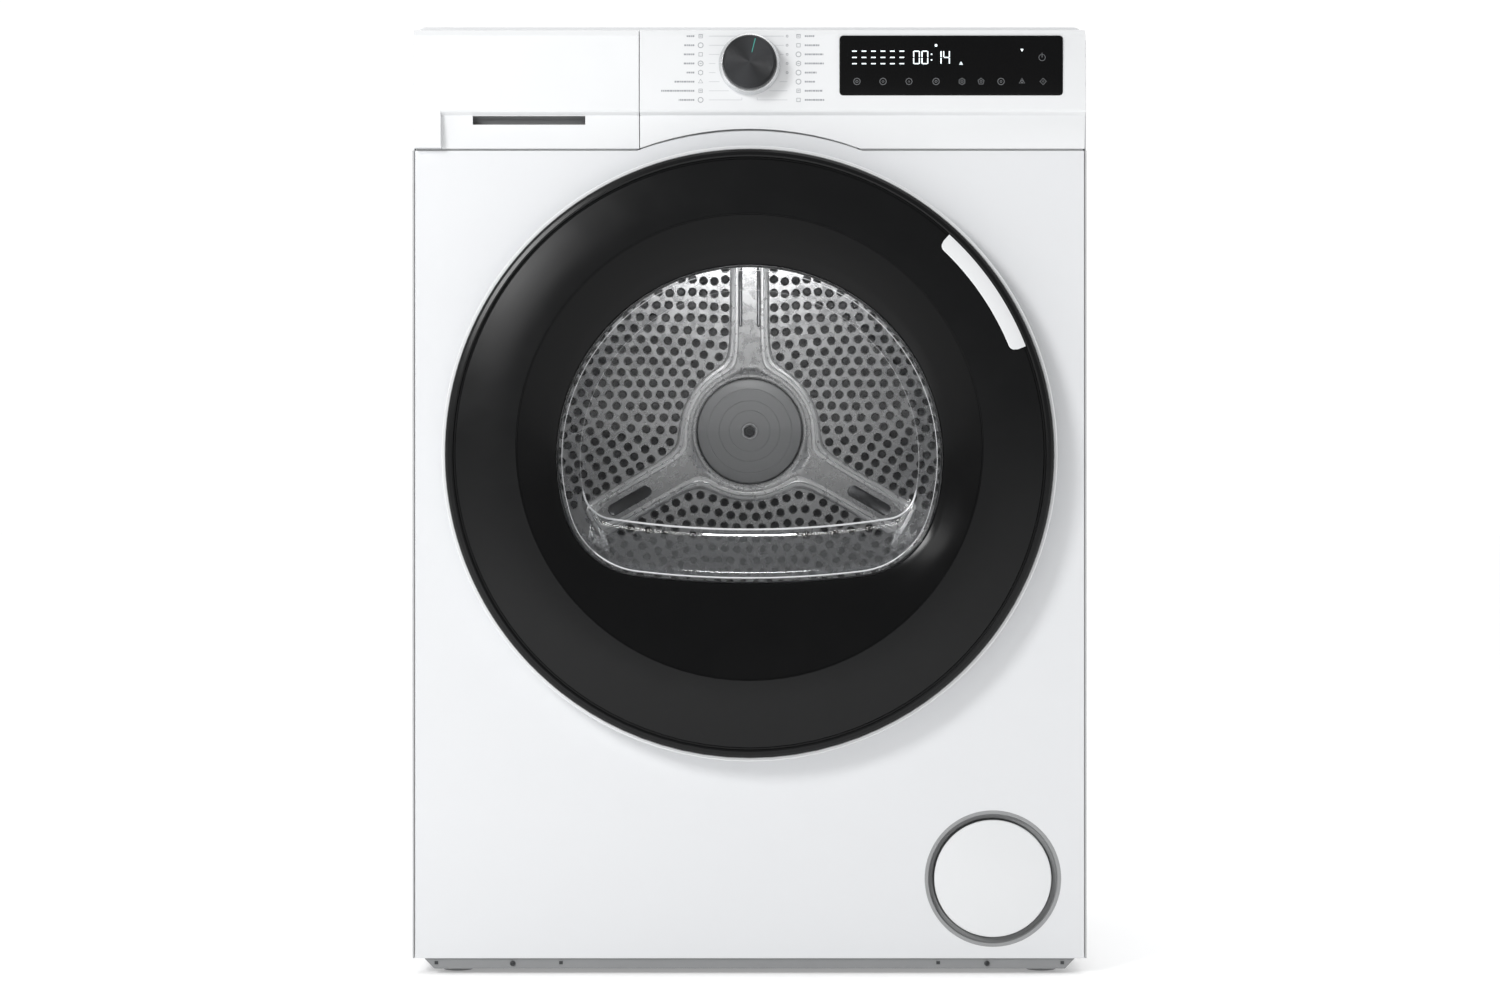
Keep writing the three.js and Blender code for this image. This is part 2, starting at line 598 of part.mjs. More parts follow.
const motorShaft = () => rodY(MOTOR_X, MOTOR_Z, 6, BELT_DEPTH - 4, 520, 16);
const motorPulley = () => cut(
  join(
    rodY(MOTOR_X, MOTOR_Z, PULLEY_R, BELT_DEPTH - 2, BELT_DEPTH + BELT_WIDTH + 2, 28),
    rodY(MOTOR_X, MOTOR_Z, PULLEY_R + 4, BELT_DEPTH + BELT_WIDTH + 1, BELT_DEPTH + BELT_WIDTH + 3, 28)),
  rodY(MOTOR_X, MOTOR_Z, 6 + GAP, BELT_DEPTH - 5, BELT_DEPTH + BELT_WIDTH + 5, 16));

function blowerWheel() {
  const r = 68;
  const disc0 = 514;
  const blades = [];
  const count = 12;
  for (let i = 0; i < count; i++) {
    const blade = box(MOTOR_X + 44, MOTOR_X + r, 480, disc0 + 1, MOTOR_Z - 1.2, MOTOR_Z + 1.2);
    blades.push(spun(blade, MOTOR_X, MOTOR_Z, (360 * i) / count));
  }
  return cut(join(
    rodY(MOTOR_X, MOTOR_Z, r, disc0, disc0 + 3, 28),
    rodY(MOTOR_X, MOTOR_Z, 14, 484, disc0 + 1, 20), ...blades),
  rodY(MOTOR_X, MOTOR_Z, 6 + GAP, 470, 530, 16));
}

function blowerHousing() {
  const d0 = 472;
  const d1 = 528;
  const outer = join(rodY(MOTOR_X, MOTOR_Z, 84, d0, d1, 36), box(14, 98, d0, d1, MOTOR_Z, 199.5));
  const inner = join(
    rodY(MOTOR_X, MOTOR_Z, 81, d0 + 3, d1 - 3, 36),
    box(17, 95, d0 + 3, d1 - 3, MOTOR_Z, 196.5));
  return cut(outer, inner, rodY(MOTOR_X, MOTOR_Z, 42, d0 - 1, d0 + 4, 32),
    box(17, 95, 502, d1 - 3, 190, 201));
}

/** The belt: a band round the drum, the motor pulley and the idler. */
function drumBelt() {
  const wheels = [
    { x: 0, z: DRUM_Z, r: DRUM_R + GAP },
    { x: IDLER_X, z: IDLER_Z, r: IDLER_R + GAP },
    { x: MOTOR_X, z: MOTOR_Z, r: PULLEY_R + GAP },
  ];
  const loop = (extra) => {
    const outline = [];
    wheels.forEach((w, i) => {
      const before = wheels[(i + 2) % 3];
      const after = wheels[(i + 1) % 3];
      const normal = (p, q) => Math.atan2(q.z - p.z, q.x - p.x) - Math.acos((p.r - q.r)
        / Math.hypot(q.x - p.x, q.z - p.z));
      const from = normal(before, w);
      let to = normal(w, after);
      while (to < from) to += 2 * Math.PI;
      const steps = Math.max(3, Math.round(((to - from) * w.r) / (i ? 6 : 26)));
      for (let k = 0; k <= steps; k++) {
        const a = from + ((to - from) * k) / steps;
        const r = w.r + extra;
        outline.push(new THREE.Vector2(w.x + r * Math.cos(a), w.z + r * Math.sin(a)));
      }
    });
    return outline;
  };
  const band = new THREE.Shape(loop(3.2));
  band.holes.push(new THREE.Path(loop(0.3)));
  return plate(band, BELT_DEPTH, BELT_DEPTH + BELT_WIDTH);
}

function tensionArm() {
  const d0 = BELT_DEPTH + BELT_WIDTH + 3;
  const d1 = d0 + 4;
  const dx = IDLER_X - ARM_X;
  const dz = IDLER_Z - ARM_Z;
  const length = Math.hypot(dx, dz);
  const bar = spun(box(ARM_X, ARM_X + length, d0, d1, ARM_Z - 8, ARM_Z + 8), ARM_X, ARM_Z,
    THREE.MathUtils.radToDeg(-Math.atan2(dz, dx)));
  return cut(join(bar,
    rodY(ARM_X, ARM_Z, 12, d0, d0 + 12, 24),
    rodY(IDLER_X, IDLER_Z, 10, d0, d1, 20),
    rodY(IDLER_X, IDLER_Z, 4, BELT_DEPTH - 3, d0 + 1, 16)),
  rodY(ARM_X, ARM_Z, 5.3, d0 - 1, d0 + 14, 16));
}

const idlerPulley = () => cut(
  rodY(IDLER_X, IDLER_Z, IDLER_R, BELT_DEPTH - 1, BELT_DEPTH + BELT_WIDTH + 1, 32),
  rodY(IDLER_X, IDLER_Z, 4.2, BELT_DEPTH - 3, BELT_DEPTH + BELT_WIDTH + 3, 16));

/** The post that the tension arm turns on, standing on the base tray. */
const armPost = () => join(
  box(ARM_X - 15, ARM_X + 15, 366, 372, 7, ARM_Z + 12),
  rodY(ARM_X, ARM_Z, 5, 336, 367, 16));

// -------------------------------------------------------------- heat pump
const EXCHANGER = { x0: 107, x1: 262, z0: 22, z1: 186 };

function finnedBlock(d0, d1) {
  const { x0, x1, z0, z1 } = EXCHANGER;
  let block = box(x0, x1, d0, d1, z0, z1);
  for (let px = x0 + 10; px < x1 - 10; px += 15) {
    const front = box(px, px + 5, d0 - 1, d0 + 6, z0 + 6, z1 - 6);
    const back = box(px, px + 5, d1 - 6, d1 + 1, z0 + 6, z1 - 6);
    block = cut(block, front, back);
  }
  return block;
}

function exchangerHousing() {
  const { x0, x1, z1 } = EXCHANGER;
  const low = 8;
  return cut(box(x0 - 7, x1 + 7, 52, 293, low, z1 + 8),
    box(x0 - 4, x1 + 4, 55, 290, low - 1, z1 + 5),
    rodY(FLAP_X, FLAP_Z, 44, 50, 58, 32),
    box(x0 + 10, x1 - 10, 285, 295, 40, z1 - 20));
}

const compressor = () => join(
  rodZ(-190, 388, 56, 30, 186, 24),
  rodZ(-190, 388, 56, 185.5, 206, 24, 34),
  ...[60, 180, 300].map((a) => rodZ(
    -190 + 58 * Math.cos(THREE.MathUtils.degToRad(a)),
    388 + 58 * Math.sin(THREE.MathUtils.degToRad(a)), 15, 8, 34, 12)));

const refrigerantPipe = () => tube([
  [-146, 346, 150], [-130, 346, 142], [-126, 344, 80], [-90, 318, 50], [0, 310, 44],
  [92, 306, 60], [150, 302, 105], [188, 300, 142], [196, 282, 150],
], 4, 8, 20);

// ------------------------------------------------------------------- door
const GLASS_NEAR = { cz: 459, r: 168, bottom: 351, corner: 72 };
const GLASS_FAR = { cz: 459, r: 160, bottom: 389, corner: 34 };
const CREASE_Z = 468.6;
const CREASE_R = 205.5;
const shrunk = (size, by) => ({ ...size, r: size.r - by, bottom: size.bottom + by, corner: size.corner - by });
const grown = (size, by) => shrunk(size, -by);

/** Part of a ring round the door's centre, between two angles in degrees. */
function doorSector(r0, r1, from, to, d0, d1) {
  const a = THREE.MathUtils.degToRad(from);
  const b = THREE.MathUtils.degToRad(to);
  const shape = new THREE.Shape();
  shape.absarc(0, DOOR_Z, r1, a, b, false);
  shape.absarc(0, DOOR_Z, r0, b, a, true);
  return plate(shape, d0, d1, 16);
}

const HINGE_HALF = 56;
function doorFrame() {
  const ring = turned([
    [DOOR_R - 10, -3.4], [DOOR_R - 2, -9], [DOOR_R, -20], [DOOR_R - 1.2, -29],
    [DOOR_R - 5, -29], [DOOR_R - 5, -7], [DOOR_R - 14, -7], [DOOR_R - 14, -3.4],
  ], 0, DOOR_Z, 48);
  const back = cut(rodY(0, DOOR_Z, DOOR_R - 9.5, -7, -3.4, 48), mouthPlate(grown(GLASS_NEAR, 1), -10, 0));
  const striker = box(LOCK_X - 3, LOCK_X + 3, -5, 15, DOOR_Z - 10, DOOR_Z + 10);
  const hingePocket = box(-290, HINGE_X + 54, -27, 2, DOOR_Z - HINGE_HALF - 1, DOOR_Z + HINGE_HALF + 1);
  return cut(join(ring, back, striker), hingePocket, doorSector(244, 280, 17, 53, -18, 0));
}

function doorShroud() {
  const ring = turned([
    [270, -29.3], [267.5, -35], [262, -36.6], [260.6, -35], [259.4, -36.2], [230, -40.4],
    [CREASE_R - 8, -DOOR_PROUD], [CREASE_R - 8, -39], [256, -33.4], [265, -29.3],
  ], 0, DOOR_Z, 48);
  const inner = cut(rodY(0, CREASE_Z, CREASE_R - 1, -41, -38, 48), mouthPlate(grown(GLASS_NEAR, 2), -45, -30));
  const well = cut(mouthPlate(grown(GLASS_NEAR, 5), -39, -21.4), mouthPlate(grown(GLASS_NEAR, 2), -45, -20));
  return join(ring, inner, well);
}

function doorGlass() {
  const near = mouthOutline(GLASS_NEAR);
  const far = mouthOutline(GLASS_FAR);
  const wall = 3;
  const bowl = cut(loft(near, -21, far, 66),
    loft(mouthOutline(shrunk(GLASS_NEAR, wall)), -21.5, mouthOutline(shrunk(GLASS_FAR, wall)), 63));
  const flange = cut(mouthPlate(grown(GLASS_NEAR, 8), -21, -18), mouthPlate(shrunk(GLASS_NEAR, 2), -25, -10));
  return join(bowl, flange);
}

const doorGasket = () => turned([[184, -3.1], [191, -3.1], [189.5, 1.2], [185.5, 1.2]], 0, DOOR_Z);
const handlePlate = () => turned([
  [244, -38.75], [260, -36.5], [260, -37.8], [244, -40.05],
], 0, DOOR_Z, 96).intersect(doorSector(240, 264, 21, 48, -45, -30));

const KNUCKLE_R = 5;
const PIN_R = 2.5;
const knuckle = (z0, z1) => rodZ(HINGE_X, HINGE_DEPTH, KNUCKLE_R, DOOR_Z + z0, DOOR_Z + z1, 20);
const pinBore = () => rodZ(HINGE_X, HINGE_DEPTH, PIN_R + GAP, DOOR_Z - 70, DOOR_Z + 70, 16);

function hingeBracket() {
  const base = box(-240, -214, -3.2, -GAP, DOOR_Z - 48, DOOR_Z + 48);
  const arms = [-1, 1].map((s) => {
    const [z0, z1] = s > 0 ? [18, 40] : [-40, -18];
    const arm = upright([[-263, -22], [-260, -24], [-226, -3], [-232, -2]], DOOR_Z + z0, DOOR_Z + z1);
    return join(arm, knuckle(z0, z1));
  });
  return cut(join(base, ...arms), pinBore());
}

function hingeLeaf() {
  const x0 = HINGE_X + 7;
  const sheet = box(x0, HINGE_X + 50, -26.6, -24.6, DOOR_Z - 54, DOOR_Z + 54);
  const ears = [[-54, -42], [42, 54]].map(([z0, z1]) => join(
    box(HINGE_X, x0 + 1, -24.8, -21, DOOR_Z + z0, DOOR_Z + z1), knuckle(z0, z1)));
  return cut(join(sheet, ...ears), pinBore());
}

const hingePin = () => rodZ(HINGE_X, HINGE_DEPTH, PIN_R, DOOR_Z - HINGE_HALF, DOOR_Z + HINGE_HALF, 16);

const doorLock = () => cut(
  box(LOCK_X - 14, LOCK_X + 14, 5.5, 32, DOOR_Z - 24, DOOR_Z + 24),
  box(LOCK_X - 8, LOCK_X + 8, 5, 22, DOOR_Z - 13, DOOR_Z + 13));

// ------------------------------------------------------------- access flap
const BEZEL_FLOOR = 17.7;
const PIN_OUT = 27;

function flapBezel() {
  const cup = turned([
    [BEZEL_R, 0], [BEZEL_R, BEZEL_FLOOR + 2], [47, BEZEL_FLOOR + 2], [47, BEZEL_FLOOR],
    [BEZEL_R - 1.4, BEZEL_FLOOR], [BEZEL_R - 1.4, 0],
  ], FLAP_X, FLAP_Z, 28);
  const ears = [-1, 1].map((s) => {
    const x = FLAP_X + s * (PIN_OUT - 3);
    return cut(join(
      rodX(x - 2, x + 2, FLAP_AXIS_DEPTH, FLAP_AXIS_Z, 3.2, 16),
      box(x - 2, x + 2, FLAP_AXIS_DEPTH, BEZEL_FLOOR + 1, FLAP_AXIS_Z - 1.5, FLAP_AXIS_Z + 3),
      box(x - 2, x + 2, BEZEL_FLOOR - 3, BEZEL_FLOOR + 1, FLAP_AXIS_Z - 12, FLAP_AXIS_Z + 3)),
    rodX(x - 3, x + 3, FLAP_AXIS_DEPTH, FLAP_AXIS_Z, 2.2, 12));
  });
  return join(cup, ...ears);
}

function accessFlap() {
  const cover = rodY(FLAP_X, FLAP_Z, FLAP_R, 0, 1.4, 28);
  const lugs = [-1, 1].map((s) => join(
    box(FLAP_X + s * 19 - 2, FLAP_X + s * 19 + 2, 1, FLAP_AXIS_DEPTH, FLAP_AXIS_Z - 2, FLAP_AXIS_Z + 6),
    rodX(FLAP_X + s * 19 - 2, FLAP_X + s * 19 + 2, FLAP_AXIS_DEPTH, FLAP_AXIS_Z, 3, 12),
    rodX(Math.min(FLAP_X + s * 18, FLAP_X + s * PIN_OUT), Math.max(FLAP_X + s * 18, FLAP_X + s * PIN_OUT),
      FLAP_AXIS_DEPTH, FLAP_AXIS_Z, 1.8, 12)));
  return join(cover, ...lugs);
}

// ---------------------------------------------------------------- assembly
add("base_tray", join(baseTray(), armPost()), GREY_PLASTIC);
add("left_side_panel", sidePanel(-1), WHITE_STEEL);
add("right_side_panel", sidePanel(1), WHITE_STEEL);
add("rear_panel", rearPanel(), ZINC);
add("front_panel", frontPanel(), WHITE_STEEL);
add("top_panel", topPanel(), WHITE_PLASTIC);
add("control_panel", controlPanel(), WHITE_PLASTIC);
add("display_window", displayWindow(), BLACK_GLOSS);
add("control_board", controlBoard(), BOARD);
add("front_bulkhead", frontBulkhead(), GREY_PLASTIC);
add("front_felt_seal", frontFelt(), FELT);
add("rear_air_duct", rearDuct(), GREY_PLASTIC);
add("rear_bearing", rearBearing(), STAINLESS);
add("tank_tray", tankTray(), GREY_PLASTIC);
add("drain_pump", drainPump(), DARK_PLASTIC);
add("tank_hose", tankHose(), RUBBER);
add("evaporator", finnedBlock(62, 158), ALUMINIUM);
add("condenser", finnedBlock(172, 280), ALUMINIUM);
add("exchanger_housing", exchangerHousing(), DARK_PLASTIC);
add("compressor", compressor(), DARK_PLASTIC);
add("refrigerant_pipe", refrigerantPipe(), COPPER);
add("motor_housing", motorHousing(), ZINC);
add("blower_housing", blowerHousing(), DARK_PLASTIC);
add("drum_belt", drumBelt(), RUBBER);
add("filter_pocket", filterPocket(), GREY_PLASTIC);
add("hinge_bracket", hingeBracket(), ZINC);
add("hinge_pin", hingePin(), STAINLESS);
add("door_lock", doorLock(), DARK_PLASTIC);
add("flap_bezel", flapBezel(), WHITE_PLASTIC);
add("cable_gland", cableGland(), DARK_PLASTIC);

add("drum_shell", drumShell(), STAINLESS);
add("drum_back", drumBack(), STAINLESS);
add("hub_cap", hubCap(), GREY_PLASTIC);
add("drum_shaft", drumShaft(), ZINC);
[30, 150, 270].forEach((a, i) => add(`lifter_${i + 1}`, lifter(a), GREY_PLASTIC));

add("motor_shaft", motorShaft(), STAINLESS);
add("motor_pulley", motorPulley(), ZINC);
add("blower_wheel", blowerWheel(), DARK_PLASTIC);
add("tension_arm", tensionArm(), ZINC);
add("idler_pulley", idlerPulley(), DARK_PLASTIC);
add("left_roller", supportRoller(-1), RUBBER);
add("right_roller", supportRoller(1), RUBBER);

add("knob_cap", knobCap(), DARK_PLASTIC);
add("knob_skirt", knobSkirt(), SILVER);
add("water_tank", waterTank(), GREY_PLASTIC);
add("tank_front", tankFront(), WHITE_PLASTIC);
add("lint_filter", lintFilter(), GREY_PLASTIC);

add("door_frame", doorFrame(), WHITE_PLASTIC);
add("door_shroud", doorShroud(), BLACK_GLOSS);
add("door_glass", doorGlass(), GLASS);
add("door_gasket", doorGasket(), RUBBER);
add("door_hinge_leaf", hingeLeaf(), ZINC);
add("door_handle_plate", handlePlate(), WHITE_PLASTIC);
add("access_flap", accessFlap(), WHITE_PLASTIC);
FEET.forEach((f) => add(f.name, foot(f), GREY_PLASTIC));

export default dryer;
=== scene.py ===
"""Looks for a front-loading heat-pump clothes dryer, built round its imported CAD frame.

Lengths are written in millimetres and turned into metres by MM. "Depth" is the
distance behind the front panel's face, so a negative depth stands proud of it.
"""
import json
import math

import bmesh
import bpy
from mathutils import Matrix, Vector, geometry

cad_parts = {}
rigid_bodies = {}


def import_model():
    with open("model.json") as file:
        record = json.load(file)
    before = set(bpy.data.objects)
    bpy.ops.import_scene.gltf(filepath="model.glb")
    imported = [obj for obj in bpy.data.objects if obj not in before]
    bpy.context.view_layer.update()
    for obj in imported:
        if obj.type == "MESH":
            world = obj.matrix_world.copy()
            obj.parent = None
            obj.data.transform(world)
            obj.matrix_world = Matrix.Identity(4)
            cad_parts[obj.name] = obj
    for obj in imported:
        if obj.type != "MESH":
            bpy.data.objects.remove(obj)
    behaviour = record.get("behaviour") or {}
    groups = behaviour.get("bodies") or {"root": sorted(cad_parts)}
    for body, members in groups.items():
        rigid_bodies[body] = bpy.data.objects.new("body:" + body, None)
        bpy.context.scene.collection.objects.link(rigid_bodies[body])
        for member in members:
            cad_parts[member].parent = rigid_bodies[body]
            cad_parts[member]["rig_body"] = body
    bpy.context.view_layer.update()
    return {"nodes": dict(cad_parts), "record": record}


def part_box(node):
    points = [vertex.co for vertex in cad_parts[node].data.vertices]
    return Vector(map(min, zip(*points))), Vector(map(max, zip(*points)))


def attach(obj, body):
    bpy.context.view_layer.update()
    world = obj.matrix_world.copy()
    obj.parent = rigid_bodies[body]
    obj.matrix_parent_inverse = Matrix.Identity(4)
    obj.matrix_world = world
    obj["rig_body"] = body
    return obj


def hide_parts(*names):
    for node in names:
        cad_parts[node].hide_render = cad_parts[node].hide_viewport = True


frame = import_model()

MM = 0.001


# ------------------------------------------------------------ places in the frame
def centre(node):
    low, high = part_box(node)
    return (low + high) / 2


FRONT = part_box("front_panel")[0].y
DOOR = Vector((0, 0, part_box("door_shroud")[1].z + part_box("door_shroud")[0].z)) / 2
DRUM = Vector((0, 0, centre("drum_shell").z))
FLAP = centre("flap_bezel")
KNOB = centre("knob_cap")
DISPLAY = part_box("display_window")


def y_at(depth):
    return FRONT + depth * MM


def depth_of(y):
    return (y - FRONT) / MM


# ------------------------------------------------------------------- materials
class Nodes:
    """A material's node tree, with short calls for the nodes used here."""

    def __init__(self, name, color, rough, metal=0.0):
        self.material = bpy.data.materials.new(name)
        self.material.use_nodes = True
        self.tree = self.material.node_tree
        self.shader = self.tree.nodes["Principled BSDF"]
        self.shader.inputs["Base Color"].default_value = (*color, 1)
        self.shader.inputs["Roughness"].default_value = rough
        self.shader.inputs["Metallic"].default_value = metal
        self.color = color
        self.coords = self.tree.nodes.new("ShaderNodeTexCoord").outputs["Object"]

    def link(self, output, target):
        self.tree.links.new(output, target)

    def mapped(self, scale):
        node = self.tree.nodes.new("ShaderNodeMapping")
        node.inputs["Scale"].default_value = scale
        self.link(self.coords, node.inputs["Vector"])
        return node.outputs["Vector"]

    def noise(self, scale, detail=3.0, stretch=(1, 1, 1)):
        node = self.tree.nodes.new("ShaderNodeTexNoise")
        node.inputs["Scale"].default_value = scale
        node.inputs["Detail"].default_value = detail
        self.link(self.mapped(stretch), node.inputs["Vector"])
        return node.outputs["Fac"]

    def cells(self, scale):
        node = self.tree.nodes.new("ShaderNodeTexVoronoi")
        node.inputs["Scale"].default_value = scale
        self.link(self.coords, node.inputs["Vector"])
        return node.outputs["Color"]

    def remap(self, value, low, high):
        node = self.tree.nodes.new("ShaderNodeMapRange")
        node.inputs["From Min"].default_value = 0.3
        node.inputs["From Max"].default_value = 0.7
        node.inputs["To Min"].default_value = low
        node.inputs["To Max"].default_value = high
        self.link(value, node.inputs["Value"])
        return node.outputs["Result"]

    def tint(self, value, amount):
        """Lets the colour wander by this share either way."""
        node = self.tree.nodes.new("ShaderNodeMix")
        node.data_type = "RGBA"
        node.inputs["A"].default_value = (*[c * (1 - amount) for c in self.color], 1)
        node.inputs["B"].default_value = (*[min(1, c * (1 + amount)) for c in self.color], 1)
        self.link(value, node.inputs["Factor"])
        self.link(node.outputs["Result"], self.shader.inputs["Base Color"])

    def roughness(self, value, low, high):
        self.link(self.remap(value, low, high), self.shader.inputs["Roughness"])

    def bump(self, height, strength, distance):
        node = self.tree.nodes.new("ShaderNodeBump")
        node.inputs["Strength"].default_value = strength
        node.inputs["Distance"].default_value = distance
        self.link(height, node.inputs["Height"])
        before = self.shader.inputs["Normal"]
        if before.is_linked:
            self.link(before.links[0].from_socket, node.inputs["Normal"])
        self.link(node.outputs["Normal"], before)

    def put(self, **values):
        """Sets constants on the shader's own sockets."""
        for key, value in values.items():
            self.shader.inputs[key.replace("_", " ")].default_value = value
        return self


def enamel(name, color):
    """Smooth stoved enamel with a faint orange peel."""
    n = Nodes(name, color, 0.3)
    n.tint(n.noise(5, 2), 0.012)
    n.roughness(n.noise(14), 0.28, 0.31)
    n.bump(n.noise(420, 2), 0.02, 0.0001)
    return n.put(Coat_Weight=0.15, Coat_Roughness=0.08)


def moulded(name, color, rough, grain=1600, relief=0.12, tint=0.04):
    """Injection-moulded plastic: a fine grain, and slow changes of tone."""
    n = Nodes(name, color, rough)
    n.tint(n.noise(22), tint)
    n.roughness(n.noise(60), rough - 0.05, rough + 0.05)
    n.bump(n.noise(grain, 2), relief, 0.0001)
    return n


def rolled(name, color, rough, stretch, relief=0.08, scale=90, metal=1.0):
    """Rolled or brushed sheet, with fine lines along one direction."""
    n = Nodes(name, color, rough, metal)
    lines = n.noise(scale, 6, stretch)
    n.tint(n.noise(9), 0.05)
    n.roughness(lines, rough - 0.06, rough + 0.08)
    n.bump(lines, relief, 0.0002)
    return n


def satin_steel(name, color, rough):
    """Plain stainless sheet with a soft sheen that changes slowly."""
    n = Nodes(name, color, rough, 0.9)
    n.tint(n.noise(6), 0.04)
    n.roughness(n.noise(12), rough - 0.02, rough + 0.03)
    n.bump(n.noise(30, 1), 0.02, 0.0002)
    return n


def galvanised(name, color):
    """Zinc spangle on steel sheet."""
    n = Nodes(name, color, 0.42, 1.0)
    flakes = n.cells(110)
    n.tint(flakes, 0.13)
    n.roughness(flakes, 0.36, 0.5)
    n.bump(n.noise(300), 0.05, 0.0002)
    return n


def gloss_black(name, color, rough, ior):
    """Black plastic with a satin gloss and very slight waves."""
    n = Nodes(name, color, rough)
    n.tint(n.noise(8), 0.08)
    n.roughness(n.noise(30), rough - 0.02, rough + 0.03)
    n.bump(n.noise(60), 0.02, 0.0002)
    return n.put(IOR=ior)


def clear_glass(name):
    n = Nodes(name, (0.02, 0.021, 0.022), 0.03)
    n.tint(n.noise(10), 0.1)
    n.bump(n.noise(16, 1), 0.05, 0.0006)
    return n.put(Alpha=0.12, IOR=2.2)


def thick_glass(name):
    """Glass seen along its thickness, where it mirrors more than it lets through."""
    n = Nodes(name, (0.60, 0.61, 0.62), 0.05, 0.9)
    n.tint(n.noise(30), 0.05)
    n.bump(n.noise(24, 1), 0.04, 0.0005)
    return n.put(Alpha=0.62)


def glowing_edge_glint(name):
    """A white strip along the glass's edge with a faint glow: a painted highlight."""
    n = Nodes(name, (0.86, 0.87, 0.88), 0.12)
    n.tint(n.noise(50), 0.06)
    n.roughness(n.noise(80), 0.08, 0.2)
    return n.put(Alpha=0.8, Emission_Color=(0.9, 0.92, 0.95, 1), Emission_Strength=0.12)


def spun(name, color, rough, metal, spacing=0.00055, relief=0.5, fan=0.1):
    """Turned metal: fine rings about the knob's axis, and lighter and darker sectors painted into the colour
    by angle, as a painted reflection of the turned face.
    """
    n = Nodes(name, color, rough, metal)
    offset = n.tree.nodes.new("ShaderNodeVectorMath")
    offset.operation = "SUBTRACT"
    offset.inputs[1].default_value = KNOB
    n.link(n.coords, offset.inputs[0])
    flat = n.tree.nodes.new("ShaderNodeVectorMath")
    flat.operation = "MULTIPLY"
    flat.inputs[1].default_value = (1, 0, 1)
    n.link(offset.outputs["Vector"], flat.inputs[0])
    length = n.tree.nodes.new("ShaderNodeVectorMath")
    length.operation = "LENGTH"
    n.link(flat.outputs["Vector"], length.inputs[0])
    wave = n.tree.nodes.new("ShaderNodeMath")
    wave.operation = "SINE"
    scaled = n.tree.nodes.new("ShaderNodeMath")
    scaled.operation = "MULTIPLY"
    scaled.inputs[1].default_value = 2 * math.pi / spacing
    n.link(length.outputs["Value"], scaled.inputs[0])
    n.link(scaled.outputs["Value"], wave.inputs[0])
    parts = n.tree.nodes.new("ShaderNodeSeparateXYZ")
    n.link(flat.outputs["Vector"], parts.inputs["Vector"])
    angle = n.tree.nodes.new("ShaderNodeMath")
    angle.operation = "ARCTAN2"
    n.link(parts.outputs["X"], angle.inputs[0])
    n.link(parts.outputs["Z"], angle.inputs[1])
    doubled = n.tree.nodes.new("ShaderNodeMath")
    doubled.operation = "MULTIPLY_ADD"
    doubled.inputs[1].default_value = 2
    doubled.inputs[2].default_value = 0.5
    n.link(angle.outputs["Value"], doubled.inputs[0])
    # painted reflection: the colour turns lighter and darker in sectors round the knob's axis
    painted_fans = n.tree.nodes.new("ShaderNodeMath")
    painted_fans.operation = "SINE"
    n.link(doubled.outputs["Value"], painted_fans.inputs[0])
    share = n.tree.nodes.new("ShaderNodeMapRange")
    share.inputs["From Min"].default_value = -1
    n.link(painted_fans.outputs["Value"], share.inputs["Value"])
    n.tint(share.outputs["Result"], fan)
    n.bump(wave.outputs["Value"], relief, 0.00008)
    return n


def glowing(name, color, strength):
    n = Nodes(name, color, 0.5)
    n.tint(n.noise(300), 0.1)
    return n.put(Emission_Color=(*color, 1), Emission_Strength=strength)


def felted(name, color):
    n = Nodes(name, color, 0.95)
    n.tint(n.noise(500), 0.25)
    n.bump(n.noise(900, 5), 0.7, 0.0006)
    return n.put(Sheen_Weight=0.4)


def finned(name, color):
    """A stack of thin fins: fine lines up the block."""
    n = Nodes(name, color, 0.35, 1.0)
    fins = n.noise(400, 1, (1, 0.001, 0.001))
    n.tint(fins, 0.35)
    n.bump(fins, 0.9, 0.0012)
    return n


def soldered(name, color):
    n = Nodes(name, color, 0.45)
    n.tint(n.cells(160), 0.4)
    n.bump(n.cells(220), 0.2, 0.0006)
    return n


def drawn_copper(name):
    n = Nodes(name, (0.62, 0.30, 0.18), 0.28, 1.0)
    n.tint(n.noise(60), 0.25)
    n.roughness(n.noise(90), 0.2, 0.42)
    return n


